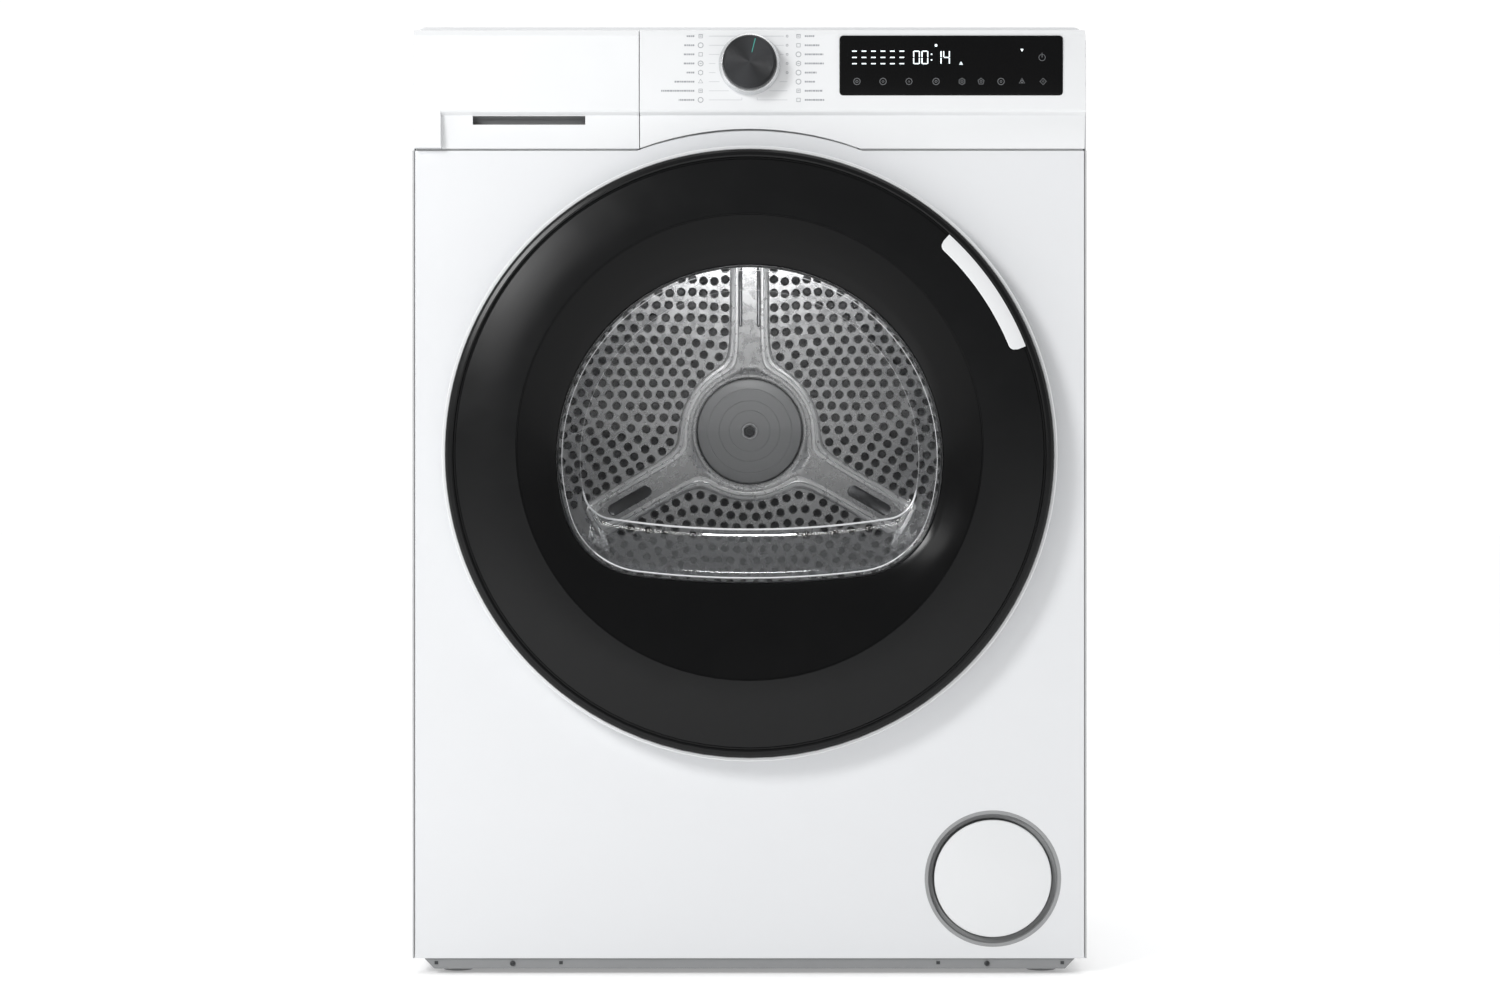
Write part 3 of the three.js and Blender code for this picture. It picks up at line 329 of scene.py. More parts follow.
LOOKS = {
    "white_steel": enamel("white_enamel", (0.71, 0.72, 0.735)),
    "white_plastic": moulded("white_plastic", (0.74, 0.75, 0.76), 0.34, relief=0.04, tint=0.008),
    "worktop_white": moulded("worktop_laminate", (0.70, 0.71, 0.72), 0.36, 900, 0.1, 0.012),
    "black_gloss": gloss_black("black_gloss", (0.005, 0.0052, 0.0055), 0.22, 1.3),
    "door_glass": clear_glass("door_glass"),
    "drum_steel": rolled("drum_steel", (0.60, 0.605, 0.61), 0.27, (1, 1, 1), 0.004, 120, 0.9),
    "bright_steel": rolled("bright_steel", (0.66, 0.67, 0.68), 0.22, (0.05, 1, 0.05)),
    "zinc_steel": galvanised("zinc_steel", (0.52, 0.53, 0.54)),
    # the silver skirt carries faint painted reflection sectors
    "silver_trim": spun("silver_trim", (0.74, 0.75, 0.76), 0.26, 0.9),
    "grey_plastic": moulded("grey_plastic", (0.25, 0.255, 0.26), 0.5),
    "pale_grey_plastic": moulded("pale_grey_plastic", (0.50, 0.51, 0.53), 0.42),
    "dark_plastic": moulded("dark_plastic", (0.03, 0.032, 0.035), 0.45),
    "tank_plastic": moulded("tank_plastic", (0.60, 0.61, 0.615), 0.35, 300, 0.01, 0.01),
    "black_rubber": moulded("black_rubber", (0.025, 0.025, 0.027), 0.75, 700, 0.25),
    "grey_rubber": moulded("grey_rubber", (0.13, 0.13, 0.14), 0.7, 700, 0.2),
    "felt": felted("felt", (0.42, 0.39, 0.34)),
    "copper": drawn_copper("copper"),
    "fin_aluminium": finned("fin_aluminium", (0.70, 0.72, 0.74)),
    "motor_paint": moulded("motor_paint", (0.18, 0.19, 0.20), 0.4, 500, 0.15),
    "compressor_paint": moulded("compressor_paint", (0.018, 0.018, 0.02), 0.35, 500, 0.1),
    "circuit_board": soldered("circuit_board", (0.04, 0.16, 0.08)),
}
# the dark cap's turned face, with strong painted reflection in lighter and darker sectors
KNOB_FACE = spun("knob_face", (0.03, 0.031, 0.033), 0.36, 0.7, 0.0008, 0.6, 0.55)
# a darker, glossier black: the display window's own black, and painted shade on the door's inner slope
DEEP_BLACK = gloss_black("deep_black", (0.0035, 0.0036, 0.0038), 0.16, 1.26)
# a near-white copy of the drum steel: a painted highlight on the pressed lips
LIP_HIGHLIGHT_STEEL = rolled("pressed_lip_highlight", (0.93, 0.935, 0.94), 0.3, (1, 1, 1), 0.004, 120, 0.55)
# dark steel for the plates of painted shade on the drum back's arms
SHADE_STEEL = rolled("shaded_steel", (0.13, 0.132, 0.136), 0.34, (1, 1, 1), 0.01, 120)
HUB_GREY = moulded("hub_plastic", (0.30, 0.305, 0.31), 0.36, 900, 0.05)
GLASS_LEDGE = thick_glass("glass_ledge")
GLASS_EDGE_GLINT = glowing_edge_glint("glass_edge_glint")
INK = moulded("grey_ink", (0.30, 0.31, 0.33), 0.6)
FAINT_INK = moulded("faint_ink", (0.50, 0.51, 0.53), 0.6)
# a teal print with a faint glow painted on: the print's own colour and a painted highlight
TEAL = glowing("pointer_teal", (0.04, 0.26, 0.23), 0.06)
LIT = glowing("lit_segment", (0.80, 0.90, 0.93), 0.9)
UNLIT = moulded("unlit_icon", (0.10, 0.105, 0.11), 0.5)
WALL_STEEL = satin_steel("wall_steel", (0.60, 0.605, 0.61), 0.36)
# mid grey for hollows in white parts: painted shade
RECESS_SHADE_GREY = moulded("recess_shade_grey", (0.30, 0.305, 0.31), 0.6)
SEAM_GREY = moulded("seam_grey", (0.42, 0.425, 0.43), 0.7)


# ---------------------------------------------------------------- mesh helpers
def piece(name, verts, faces, slot, body, look=None, sharp=35.0):
    """A new mesh object that rides on a CAD body."""
    mesh = bpy.data.meshes.new(name)
    mesh.from_pydata([tuple(v) for v in verts], [], faces)
    return dress(name, mesh, slot, body, look, sharp)


def dress(name, mesh, slot, body, look=None, sharp=35.0):
    bm = bmesh.new()
    bm.from_mesh(mesh)
    bmesh.ops.remove_doubles(bm, verts=bm.verts, dist=2e-6)
    bmesh.ops.recalc_face_normals(bm, faces=bm.faces)
    bm.to_mesh(mesh)
    bm.free()
    mesh.polygons.foreach_set("use_smooth", [True] * len(mesh.polygons))
    mesh.set_sharp_from_angle(angle=math.radians(sharp))
    mesh.materials.clear()
    mesh.materials.append((look or LOOKS[slot]).material)
    made = bpy.data.objects.new(name, mesh)
    bpy.context.scene.collection.objects.link(made)
    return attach(made, body)


class Shape:
    """Vertices and faces, collected before they become one piece."""

    def __init__(self):
        self.verts = []
        self.faces = []

    def add(self, verts, faces):
        start = len(self.verts)
        self.verts += [tuple(v) for v in verts]
        self.faces += [tuple(start + i for i in f) for f in faces]
        return self

    def rings(self, rings, closed=True):
        """Skins a run of rings that all have the same number of points."""
        count = len(rings[0])
        faces = []
        last = len(rings) if closed else len(rings) - 1
        for k in range(last):
            a = k * count
            b = ((k + 1) % len(rings)) * count
            for i in range(count):
                j = (i + 1) % count
                faces.append((a + i, a + j, b + j, b + i))
        return self.add([v for ring in rings for v in ring], faces)

    def box(self, low, high):
        corners = [(x, y, z) for x in (low[0], high[0]) for y in (low[1], high[1]) for z in (low[2], high[2])]
        sides = [(0, 1, 3, 2), (4, 6, 7, 5), (0, 4, 5, 1), (2, 3, 7, 6), (0, 2, 6, 4), (1, 5, 7, 3)]
        return self.add(corners, sides)

    def made(self, name, slot, body, look=None, sharp=35.0):
        return piece(name, self.verts, self.faces, slot, body, look, sharp)


def circle(r, depth, at, count=192, start=0.0):
    """A ring of points about a Y axis; r and depth in millimetres."""
    points = []
    for i in range(count):
        a = start + 2 * math.pi * i / count
        points.append((at.x + r * MM * math.sin(a), y_at(depth), at.z + r * MM * math.cos(a)))
    return points


def lathe(profile, at, count=192):
    """A closed (radius, depth) profile turned about a Y axis."""
    return Shape().rings([circle(r, d, at, count) for r, d in profile])


def sector(profile, at, start, end, count=40):
    """Part of a turned profile, with flat ends; angles in degrees, anticlockwise from +X."""
    rings = []
    for i in range(count + 1):
        a = math.radians(start + (end - start) * i / count)
        across, up = MM * math.cos(a), MM * math.sin(a)
        rings.append([(at.x + r * across, y_at(d), at.z + r * up) for r, d in profile])
    shape = Shape().rings(rings, closed=False)
    n = len(profile)
    shape.faces += [tuple(range(n)), tuple(range(count * n, count * n + n))]
    return shape


def rounded(shape_object, width, segments=2, angle=30.0):
    """Rounds a piece's edges that are sharper than the angle; width in millimetres."""
    bevel = shape_object.modifiers.new("rounding", "BEVEL")
    bevel.width = width * MM
    bevel.segments = segments
    bevel.limit_method = "ANGLE"
    bevel.angle_limit = math.radians(angle)
    bevel.harden_normals = True
    return shape_object


def refined(node, slot, width, name=None, segments=2, angle=30.0):
    """A CAD node's own shape with its triangles merged and its edges rounded."""
    source = frame["nodes"][node]
    mesh = source.data.copy()
    bm = bmesh.new()
    bm.from_mesh(mesh)
    bmesh.ops.remove_doubles(bm, verts=bm.verts, dist=1e-5)
    bmesh.ops.dissolve_limit(bm, angle_limit=math.radians(0.5), verts=bm.verts, edges=bm.edges)
    bm.to_mesh(mesh)
    bm.free()
    made = dress(name or node + "_fine", mesh, slot, source["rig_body"], sharp=angle)
    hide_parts(node)
    return rounded(made, width, segments, angle)


def disc_fan(shape, ring, middle):
    """Closes a ring of points with a fan of faces."""
    start = len(shape.verts)
    count = len(ring)
    shape.verts += [tuple(p) for p in ring] + [tuple(middle)]
    shape.faces += [(start + i, start + (i + 1) % count, start + count) for i in range(count)]
    return shape


# -------------------------------------------------------------- window outline
def window_ring(centre_z, r, bottom, corner, depth, steps=(96, 20, 24, 20), bottom_r=830):
    """The door window: a circle with a nearly flat bottom, all arcs meeting without a corner."""
    low = bottom + bottom_r
    reach = (r - corner) ** 2 - (bottom_r - corner) ** 2
    corner_z = (reach + low**2 - centre_z**2) / (2 * (low - centre_z))
    corner_x = math.sqrt((r - corner) ** 2 - (corner_z - centre_z) ** 2)
    side = math.atan2(corner_z - centre_z, corner_x)
    under = math.atan2(corner_z - low, corner_x)
    arcs = [
        (0, centre_z, r, side, math.pi - side, steps[0]),
        (-corner_x, corner_z, corner, math.pi - side, math.pi - under, steps[1]),
        (0, low, bottom_r, math.pi - under, 2 * math.pi + under, steps[2]),
        (corner_x, corner_z, corner, under, side, steps[3]),
    ]
    points = []
    for cx, cz, radius, start, end, count in arcs:
        for i in range(count):
            a = start + (end - start) * i / count
            points.append(((cx + radius * math.cos(a)) * MM, y_at(depth), (cz + radius * math.sin(a)) * MM))
    return points


def matched_circle(ring, r, depth, centre_z):
    """A circle whose points face those of a window ring, for skinning between them."""
    points = []
    for x, _, z in ring:
        a = math.atan2(z - WINDOW_Z * MM, x)
        points.append((r * MM * math.cos(a), y_at(depth), centre_z * MM + r * MM * math.sin(a)))
    return points


WINDOW_Z = 459
NEAR = {"centre_z": WINDOW_Z, "r": 168, "bottom": 351, "corner": 72}
FAR = {"centre_z": WINDOW_Z, "r": 160, "bottom": 389, "corner": 34}


def window(size, depth, by=0.0):
    """A window outline shrunk by some millimetres, at a depth."""
    return window_ring(size["centre_z"], size["r"] - by, size["bottom"] + by, size["corner"] - by, depth)


def between(a, b, share):
    """An outline part of the way from one size to another."""
    return {key: a[key] + (b[key] - a[key]) * share for key in a}


# ------------------------------------------------------------------------ door
def door_shroud():
    """The black front: a rim band, a groove, a domed ring and the slope in to the window."""
    near = window(NEAR, -36, -2)
    crease_z = DOOR.z / MM + 5.6
    crown = []
    for i in range(7):
        t = i / 6
        r = 258.6 + (205.5 - 258.6) * t
        depth = -36.4 - 5.4 * math.sin(t * math.pi / 2)
        crown.append(matched_circle(near, r, depth, DOOR.z / MM + 5.6 * t))
    rim = [(264, -29.4), (267.8, -29.4), (268.6, -31), (267.8, -34.2), (265.6, -36.2), (262.6, -36.9),
           (261.2, -36.6), (260.6, -34.6), (259.4, -34.6)]
    shape = Shape()
    rings = [matched_circle(near, r, d, DOOR.z / MM) for r, d in rim] + crown
    rings.append(matched_circle(near, 205.1, -41.0, crease_z))
    rings.append(matched_circle(near, 204.5, -40.6, crease_z))
    slope = matched_circle(near, 204.0, -40.9, crease_z)
    for t in (0.0, 0.25, 0.5, 0.75, 1.0):
        edge = window(NEAR, -34.5, -4)
        depth = -40.9 + 6.4 * t**1.2
        rings.append([(s[0] + (e[0] - s[0]) * t, y_at(depth), s[2] + (e[2] - s[2]) * t)
                      for s, e in zip(slope, edge)])
    rings += [window(NEAR, -34, -3), window(NEAR, -32.6, -2), window(NEAR, -21.4, -2),
              window(NEAR, -21.4, -5),
              window(NEAR, -30, -8)]
    rings.append(matched_circle(near, 256, -31.4, DOOR.z / MM))
    shape.rings(rings)
    made = shape.made("door_shroud_fine", "black_gloss", "door", sharp=24)
    # the faces inside the crease take the darker, glossier black: painted shade on the slope in to the window
    made.data.materials.append(DEEP_BLACK.material)
    for face in made.data.polygons:
        if math.hypot(face.center.x, face.center.z - crease_z * MM) < 0.2048:
            face.material_index = 1
    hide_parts("door_shroud")


def door_frame():
    """The white trim ring and the inner lining, with dark plastic round the window."""
    profile = [
        (264, -28.6), (270.8, -28.6), (271.6, -27.4), (272, -20), (271.4, -13), (269.6, -8.6), (266, -5.4),
        (261, -3.6), (256, -3.4), (252, -4.0), (246, -4.2), (200, -4.2),
    ]
    near = window(NEAR, -4.2, -1)
    rings = [matched_circle(near, r, d, DOOR.z / MM) for r, d in profile]
    rings += [window(NEAR, -4.2, -4), window(NEAR, -5.4, -1.6), window(NEAR, -17.6, -1.4),
              window(NEAR, -17.6, -6)]
    rings.append(matched_circle(near, 240, -10, DOOR.z / MM))
    rings.append(matched_circle(near, 262, -12, DOOR.z / MM))
    made = Shape().rings(rings).made("door_lining", "white_plastic", "door", sharp=28)
    made.data.materials.append(LOOKS["dark_plastic"].material)
    for face in made.data.polygons:
        middle = face.center
        if depth_of(middle.y) < -4.6 and math.hypot(middle.x, middle.z - WINDOW_Z * MM) < 0.176:
            face.material_index = 1
    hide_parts("door_frame")


def door_bowl():
    """The deep glass bowl, with a rounded far edge."""
    wall = 3
    outer = [window(NEAR, -18.2, -8), window(NEAR, -18.2, 0), window(NEAR, -15, 0.6)]
    for share in (0.25, 0.5, 0.75, 0.9):
        outer.append(window(between(NEAR, FAR, share), -21 + 87 * share))
    outer.append(window(FAR, 63, 1.2))
    outer.append(window(FAR, 65.4, 3.6))
    outer.append(window(FAR, 66, 7))
    inner = [window(NEAR, -21, -8), window(NEAR, -21, 1), window(NEAR, -19.5, wall)]
    for share in (0.25, 0.5, 0.75, 0.88):
        inner.append(window(between(NEAR, FAR, share), -21 + 84 * share, wall))
    inner.append(window(FAR, 59.5, wall + 2))
    inner.append(window(FAR, 62.2, wall + 5))
    inner.append(window(FAR, 63, wall + 9))
    shape = Shape().rings(outer[::-1] + inner, closed=False)
    disc_fan(shape, outer[-1], (0, y_at(66.4), WINDOW_Z * MM))
    disc_fan(shape, inner[-1], (0, y_at(63.4), WINDOW_Z * MM))
    made = shape.made("door_bowl", "door_glass", "door", sharp=50)
    made.data.materials.append(GLASS_LEDGE.material)
    for face in made.data.polygons:
        if face.center.z < 0.392 and depth_of(face.center.y) < 62 and face.normal.z > 0.5:
            face.material_index = 1
    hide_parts("door_glass")
    # white glowing rods along the bowl's far and near edges: painted highlights
    glint_bead("bowl_far_edge_glint", window(FAR, 60.5, wall + 3.2), 0.13, 0.43, 0.9)
    glint_bead("bowl_near_edge_glint", window(NEAR, -23.4, 2.2), 0.25, 0.375, 0.65)


def glint_bead(name, path, r, low_z=0.0, low_r=0.0):
    """A thin round rod along a closed path of points, in the white glowing look: a painted highlight line; it
    may be thicker below a height.
    """
    rings = []
    count = len(path)
    for i in range(count):
        ahead = (Vector(path[(i + 1) % count]) - Vector(path[i - 1])).normalized()
        out = ahead.cross(Vector((0, 1, 0))).normalized()
        here = Vector(path[i])
        reach = r if here.z > low_z else low_r
        ring = []
        for k in range(8):
            a = 2 * math.pi * k / 8
            ring.append(here + (out * math.cos(a) + Vector((0, 1, 0)) * math.sin(a)) * reach * MM)
        rings.append(ring)
    Shape().rings(rings).made(name, "door_glass", "door", GLASS_EDGE_GLINT)


def door_seal():
    """The soft lip round the bowl that meets the cabinet."""
    profile = [(183, -4), (192, -4), (192.6, -2.4), (190.6, 0.4), (187.4, 1.1), (184.6, -0.6), (183.6, -2.6)]
    made = lathe(profile, DOOR).made("door_seal", "grey_rubber", "door")
    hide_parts("door_gasket")


def handle_plate():
    """The pale plate on the rim, where the door is pulled, with its inner corners rounded."""
    outer, inner, corner = 260.4, 246.6, 6.0
    start, end, steps = 21.2, 47.6, 96
    middle_r = 254
    rings = []
    for i in range(steps + 1):
        angle = start + (end - start) * i / steps
        from_end = math.radians(min(angle - start, end - angle)) * middle_r
        cut = corner - math.sqrt(max(0, corner**2 - (corner - min(corner, from_end)) ** 2))
        low = inner + cut
        a = math.radians(angle)
        ring = []
        section = ((low, 0.4), (outer, 0.4), (outer, -0.5), (outer - 0.6, -0.9),
                   (low + 0.6, -0.9), (low, -0.5))
        for r, lift in section:
            depth = -37.5 - 1.7 * (outer - r) / (outer - inner) + lift
            ring.append((DOOR.x + r * MM * math.cos(a), y_at(depth), DOOR.z + r * MM * math.sin(a)))
        rings.append(ring)
    shape = Shape().rings(rings, closed=False)
    shape.faces += [tuple(range(6)), tuple(range(steps * 6, (steps + 1) * 6))]
    made = shape.made("handle_plate_fine", "white_plastic", "door")
    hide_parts("door_handle_plate")


def door_screws():
    shape = Shape()
    for k in range(12):
        a = math.radians(15 + 30 * k)
        place = Vector((math.sin(a) * 0.2315, y_at(-4.2), DOOR.z + math.cos(a) * 0.2315))
        screw(shape, place, Vector((0, 1, 0)), 3.4)
    shape.made("door_screws", "bright_steel", "door")


def screw(shape, place, out, r=3.6):
    """A pan-head screw with a cross recess, facing along out."""
    side = out.orthogonal().normalized()
    up = out.cross(side)
    count = 24

    def ring(radius, height, star=0.0):
        points = []
        for i in range(count):
            a = 2 * math.pi * i / count
            reach = radius * (1 - star * (0.5 - 0.5 * math.cos(4 * a)))
            points.append(place + (side * math.cos(a) + up * math.sin(a)) * reach * MM + out * height * MM)
        return points

    rings = [ring(r, -0.6), ring(r, 0.5), ring(r * 0.93, 1.1), ring(r * 0.7, 1.5), ring(r * 0.52, 1.6, 0.72)]
    rings.append(ring(r * 0.45, 0.6, 0.8))
    shape.rings(rings, closed=False)
    disc_fan(shape, rings[-1], place + out * 0.5 * MM)
    disc_fan(shape, rings[0], place - out * 0.6 * MM)


# ------------------------------------------------------------------------ drum
HUB_R = 60.0
ARM_HALF = 16.75
ARM_END = 186.0
SECTOR = math.radians(60)
# how far the sheet stands proud, at distances outside the star's outline: two raised lips round a flat star
PRESSING = [(-6.6, 4.6), (-5.4, 4.8), (-4.4, 6.8), (-3.2, 6.8), (-2.2, 4.4), (-1.2, 4.0), (-0.2, 5.6),
            (0.9, 5.4),
            (2.2, 1.2), (3.3, 0.0)]


def star_radius(level, angle):
    """Distance from the hub of the star's outline grown by level, in the sector between two arms."""
    arm = (level + ARM_HALF) / max(1e-6, math.sin(SECTOR - abs(angle)))
    hub = HUB_R + 8 + level
    soft = 16.0
    return soft * math.log(math.exp(min(40, hub / soft)) + math.exp(min(40, arm / soft)))


def hole_rows(pitch=13.0, first=8.4, outer=272.0):
    """Centres of the drum back's holes, in rows parallel to the star and half a pitch apart in turn."""
    centres = []
    for row in range(20):
        level = first + row * pitch * 0.866
        path = []
        steps = 400
        for i in range(steps + 1):
            a = -SECTOR + 0.02 + (2 * SECTOR - 0.04) * i / steps
            r = star_radius(level, a)
            if r < outer:
                path.append((r * math.cos(a), r * math.sin(a)))
        if len(path) < 3:
            continue
        half = len(path) // 2
        for direction in (1, -1):
            travelled = 0.0
            due = pitch / 2 if row % 2 else (0.0 if direction == 1 else pitch)
            i = half
            while 0 <= i + direction < len(path):
                if travelled >= due:
                    centres.append(path[i])
                    due += pitch
                here, there = path[i], path[i + direction]
                travelled += math.hypot(there[0] - here[0], there[1] - here[1])
                i += direction
    return centres


def star_contours():
    """Closed loops round the star, at the levels where its pressing changes slope."""
    loops = []
    for level, _ in PRESSING[::-1]:
        loop = []
        for arm in range(3):
            middle = math.radians(30 + 120 * arm)
            for i in range(61):
                a = -SECTOR + 2 * SECTOR * i / 60
                reach = ARM_END + level
                r = min(star_radius(level, a) if abs(a) < SECTOR - 0.004 else 1e9, reach)
                loop.append((r * math.cos(middle + a), r * math.sin(middle + a)))
        loops.append((level, loop))
    return loops


def drum_back():
    """The perforated back sheet, with its pressed three-armed star."""
    hole_r = 3.8
    sides = 14
    rim_r = 279.5
    hub_r = 55.0
    points, edges, hole_of = [], [], []

    def loop(vertices, hole):
        start = len(points)
        points.extend(Vector(v) for v in vertices)
        hole_of.extend([hole] * len(vertices))
        edges.extend((start + i, start + (i + 1) % len(vertices)) for i in range(len(vertices)))

    turns = [2 * math.pi * i / 180 for i in range(180)]
    loop([(rim_r * math.cos(a), rim_r * math.sin(a)) for a in turns], -1)
    loop([(hub_r * math.cos(a), hub_r * math.sin(a)) for a in (2 * math.pi * i / 90 for i in range(90))], 0)
    heights = {}
    for level, vertices in star_contours():
        start = len(points)
        loop(vertices, -1)
        for i in range(start, len(points)):
            heights[i] = dict(PRESSING)[level]
    number = 1
    for arm in range(3):
        turn = math.radians(30 + 120 * arm)
        for cx, cz in hole_rows():
            hx = cx * math.cos(turn) - cz * math.sin(turn)
            hz = cx * math.sin(turn) + cz * math.cos(turn)
            for r, dip, key in ((hole_r + 1.2, 0.0, -1), (hole_r, -1.5, number)):
                start = len(points)
                ring = []
                for i in range(sides):
                    a = 2 * math.pi * i / sides
                    ring.append((hx + r * math.cos(a), hz + r * math.sin(a)))
                loop(ring, key)
                for i in range(start, len(points)):
                    heights[i] = dip
            number += 1
    made = geometry.delaunay_2d_cdt(points, edges, [], 0, 1e-4)
    verts2d, tris, origin = made[0], made[2], made[3]
    verts = []
    hole = []
    for v, sources in zip(verts2d, origin):
        source = sources[0] if sources else None
        hole.append(hole_of[source] if source is not None else -1)
        if source in heights:
            height = heights[source]
        else:
            r = v.length
            height = 4.6 if r < HUB_R + 1 else 0.0
        verts.append((v.x * MM, y_at(depth_back - height), DRUM.z + v.y * MM))
    faces = []
    for t in tris:
        kinds = {hole[i] for i in t}
        if len(kinds) == 1 and hole[t[0]] >= 0:
            continue
        faces.append(tuple(t))
    made = piece("drum_back_sheet", verts, faces, "drum_steel", "drum", sharp=34)
    # the faces on the raised lips take the near-white steel: a painted highlight
    made.data.materials.append(LIP_HIGHLIGHT_STEEL.material)
    for face in made.data.polygons:
        heights_here = [depth_back - depth_of(made.data.vertices[i].co.y) for i in face.vertices]
        if max(heights_here) > 5.3:
            face.material_index = 1
    thick = made.modifiers.new("sheet", "SOLIDIFY")
    thick.thickness = 0.9 * MM
    thick.offset = -1
    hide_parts("drum_back")
    arm_shade_plates()


def arm_shade_plates():
    """Dark plates of painted shade: slots near the ends of the two lower arms, and channels up the sides of
    the top arm.
    """
    dark = Shape()
    spans = [(210, 0, 118, 168, 6.2), (330, 0, 118, 168, 6.2),
             (90, -9.4, 108, 182, 1.9), (90, 9.4, 108, 182, 1.9)]
    for angle, offset, start, end, half in spans:
        a = math.radians(angle)
        along = Vector((math.cos(a), 0, math.sin(a)))
        across = Vector((-math.sin(a), 0, math.cos(a)))
        rings = []
        for inset, lift in ((0, 4.8), (0, 5.7), (1.0, 6.1), (1.7, 5.7)):
            outline = rounded_rectangle(start + inset, end - inset, offset - half + inset * 0.6,
                                        offset + half - inset * 0.6, max(0.3, half - inset) * 0.9)
            rings.append([DRUM + (along * u + across * v) * MM + Vector((0, y_at(depth_back - lift), 0))
                          for u, v in outline])
        dark.rings(rings, closed=False)
        n = len(rings[0])
        first = len(dark.verts) - 4 * n
        dark.faces += [tuple(range(first, first + n)), tuple(range(first + 3 * n, first + 4 * n))]
    dark.made("arm_shade_plates", "drum_steel", "drum", SHADE_STEEL, sharp=50)


depth_back = depth_of(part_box("drum_back")[1].y) - 2.0


def hub_cap():
    """The plastic hub cover: shallow concentric steps round a centre screw."""
    face = depth_back - 5.6
    profile = [(54, face + 5), (54, face + 2.6), (53.2, face + 1.2), (51, face + 0.2), (44, face - 0.7),
               (43.4, face - 0.3), (42.8, face - 0.8), (32, face - 1.5), (31.4, face - 1.1),
               (30.8, face - 1.6),
               (21.8, face - 2.0), (21.2, face - 1.6), (20.6, face - 2.1), (9, face - 2.3), (8.2, face - 1.2),
               (0.01, face - 1.2), (0.01, face + 5)]
    made = lathe(profile, DRUM, 128).made("hub_cover", "pale_grey_plastic", "drum", HUB_GREY, sharp=30)
    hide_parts("hub_cap")
    nut = Shape()
    nut_section = ((6.4, 0.6), (6.4, 2.6), (5.6, 3.2), (3.6, 3.2), (3.4, 1.4))
    hexagon = [circle(r, face - proud, DRUM, 6) for r, proud in nut_section]
    nut.rings(hexagon, closed=False)
    disc_fan(nut, hexagon[-1], (0, y_at(face - 1.4), DRUM.z))
    nut.made("hub_nut", "dark_plastic", "drum", sharp=20)
    lathe([(6.6, face - 1.0), (8.1, face - 1.0), (8.0, face - 1.9), (6.8, face - 1.9)], DRUM, 64).made(
        "hub_washer", "bright_steel", "drum")
    ring = [(55.2, face + 3), (55.2, face + 0.2), (56.2, face - 1.2),
            (58.4, face - 1.2), (60.4, face + 0.4), (61, face + 3)]
    lathe(ring, DRUM).made("hub_ring", "drum_steel", "drum")


def drum_shell():
    """The drum's wall, with rolled beads."""
    outer, inner = 283.0, 281.4
    low, high = (depth_of(v.y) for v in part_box("drum_shell"))
    beads = [low + 26, low + 40, high - 40, high - 26]
    profile = [(250.5, low + 0.2), (251.2, low - 0.0), (276, low), (281, low + 1.6), (outer, low + 5)]
    for b in beads:
        profile += [(outer, b - 4), (outer - 1.8, b), (outer, b + 4)]
    profile += [(outer, high), (inner, high)]
    for b in reversed(beads):
        profile += [(inner, b + 4), (inner - 1.8, b), (inner, b - 4)]
    profile += [(inner, low + 6), (279.4, low + 3.2), (275, low + 1.8), (251.4, low + 1.8),
                (250.2, low + 1.2)]
    made = lathe(profile, DRUM, 160).made("drum_wall", "drum_steel", "drum", WALL_STEEL, sharp=30)
    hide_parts("drum_shell")


# --------------------------------------------------------------- control panel
FACE_FOOT = (768.0, -12.0)
FACE_HEAD = (834.0, -10.6)


def on_fascia(z):
    """Depth of the control panel's leaning face at a height in millimetres."""
    share = (z - FACE_FOOT[0]) / (FACE_HEAD[0] - FACE_FOOT[0])
    return FACE_FOOT[1] + (FACE_HEAD[1] - FACE_FOOT[1]) * share


def on_display(z):
    return depth_of(DISPLAY[0].y)


def raised(shape, outline, surface, proud=0.12, back=0.5):
    """A thin slab on a surface, from an outline of (x, z) in millimetres."""
    rings = []
    for lift in (-proud, back):
        rings.append([(x * MM, y_at(surface(z) + lift), z * MM) for x, z in outline])
    shape.rings(rings, closed=False)
    n = len(outline)
    start = len(shape.verts) - 2 * n
    shape.faces += [tuple(range(start, start + n)), tuple(range(start + n, start + 2 * n))]


def bar(shape, x0, x1, z0, z1, surface):
    raised(shape, [(x0, z0), (x1, z0), (x1, z1), (x0, z1)], surface)


def loop_mark(shape, x, z, r, sides, width, surface, turn=0.0):
    """An outline mark: a ring with a few or many sides."""
    rings = []
    for radius, lift in ((r, -0.12), (r - width, -0.12), (r - width, 0.5), (r, 0.5)):
        ring = []
        for i in range(sides):
            a = turn + 2 * math.pi * i / sides
            pz = z + radius * math.cos(a)
            ring.append(((x + radius * math.sin(a)) * MM, y_at(surface(pz) + lift), pz * MM))
        rings.append(ring)
    shape.rings(rings)


def rounded_rectangle(x0, x1, z0, z1, r, steps=8):
    points = []
    corners = ((x1 - r, z1 - r, 0), (x0 + r, z1 - r, 90), (x0 + r, z0 + r, 180), (x1 - r, z0 + r, 270))
    for cx, cz, start in corners:
        for i in range(steps + 1):
            a = math.radians(start + 90 * i / steps)
            points.append((cx + r * math.cos(a), cz + r * math.sin(a)))
    return points


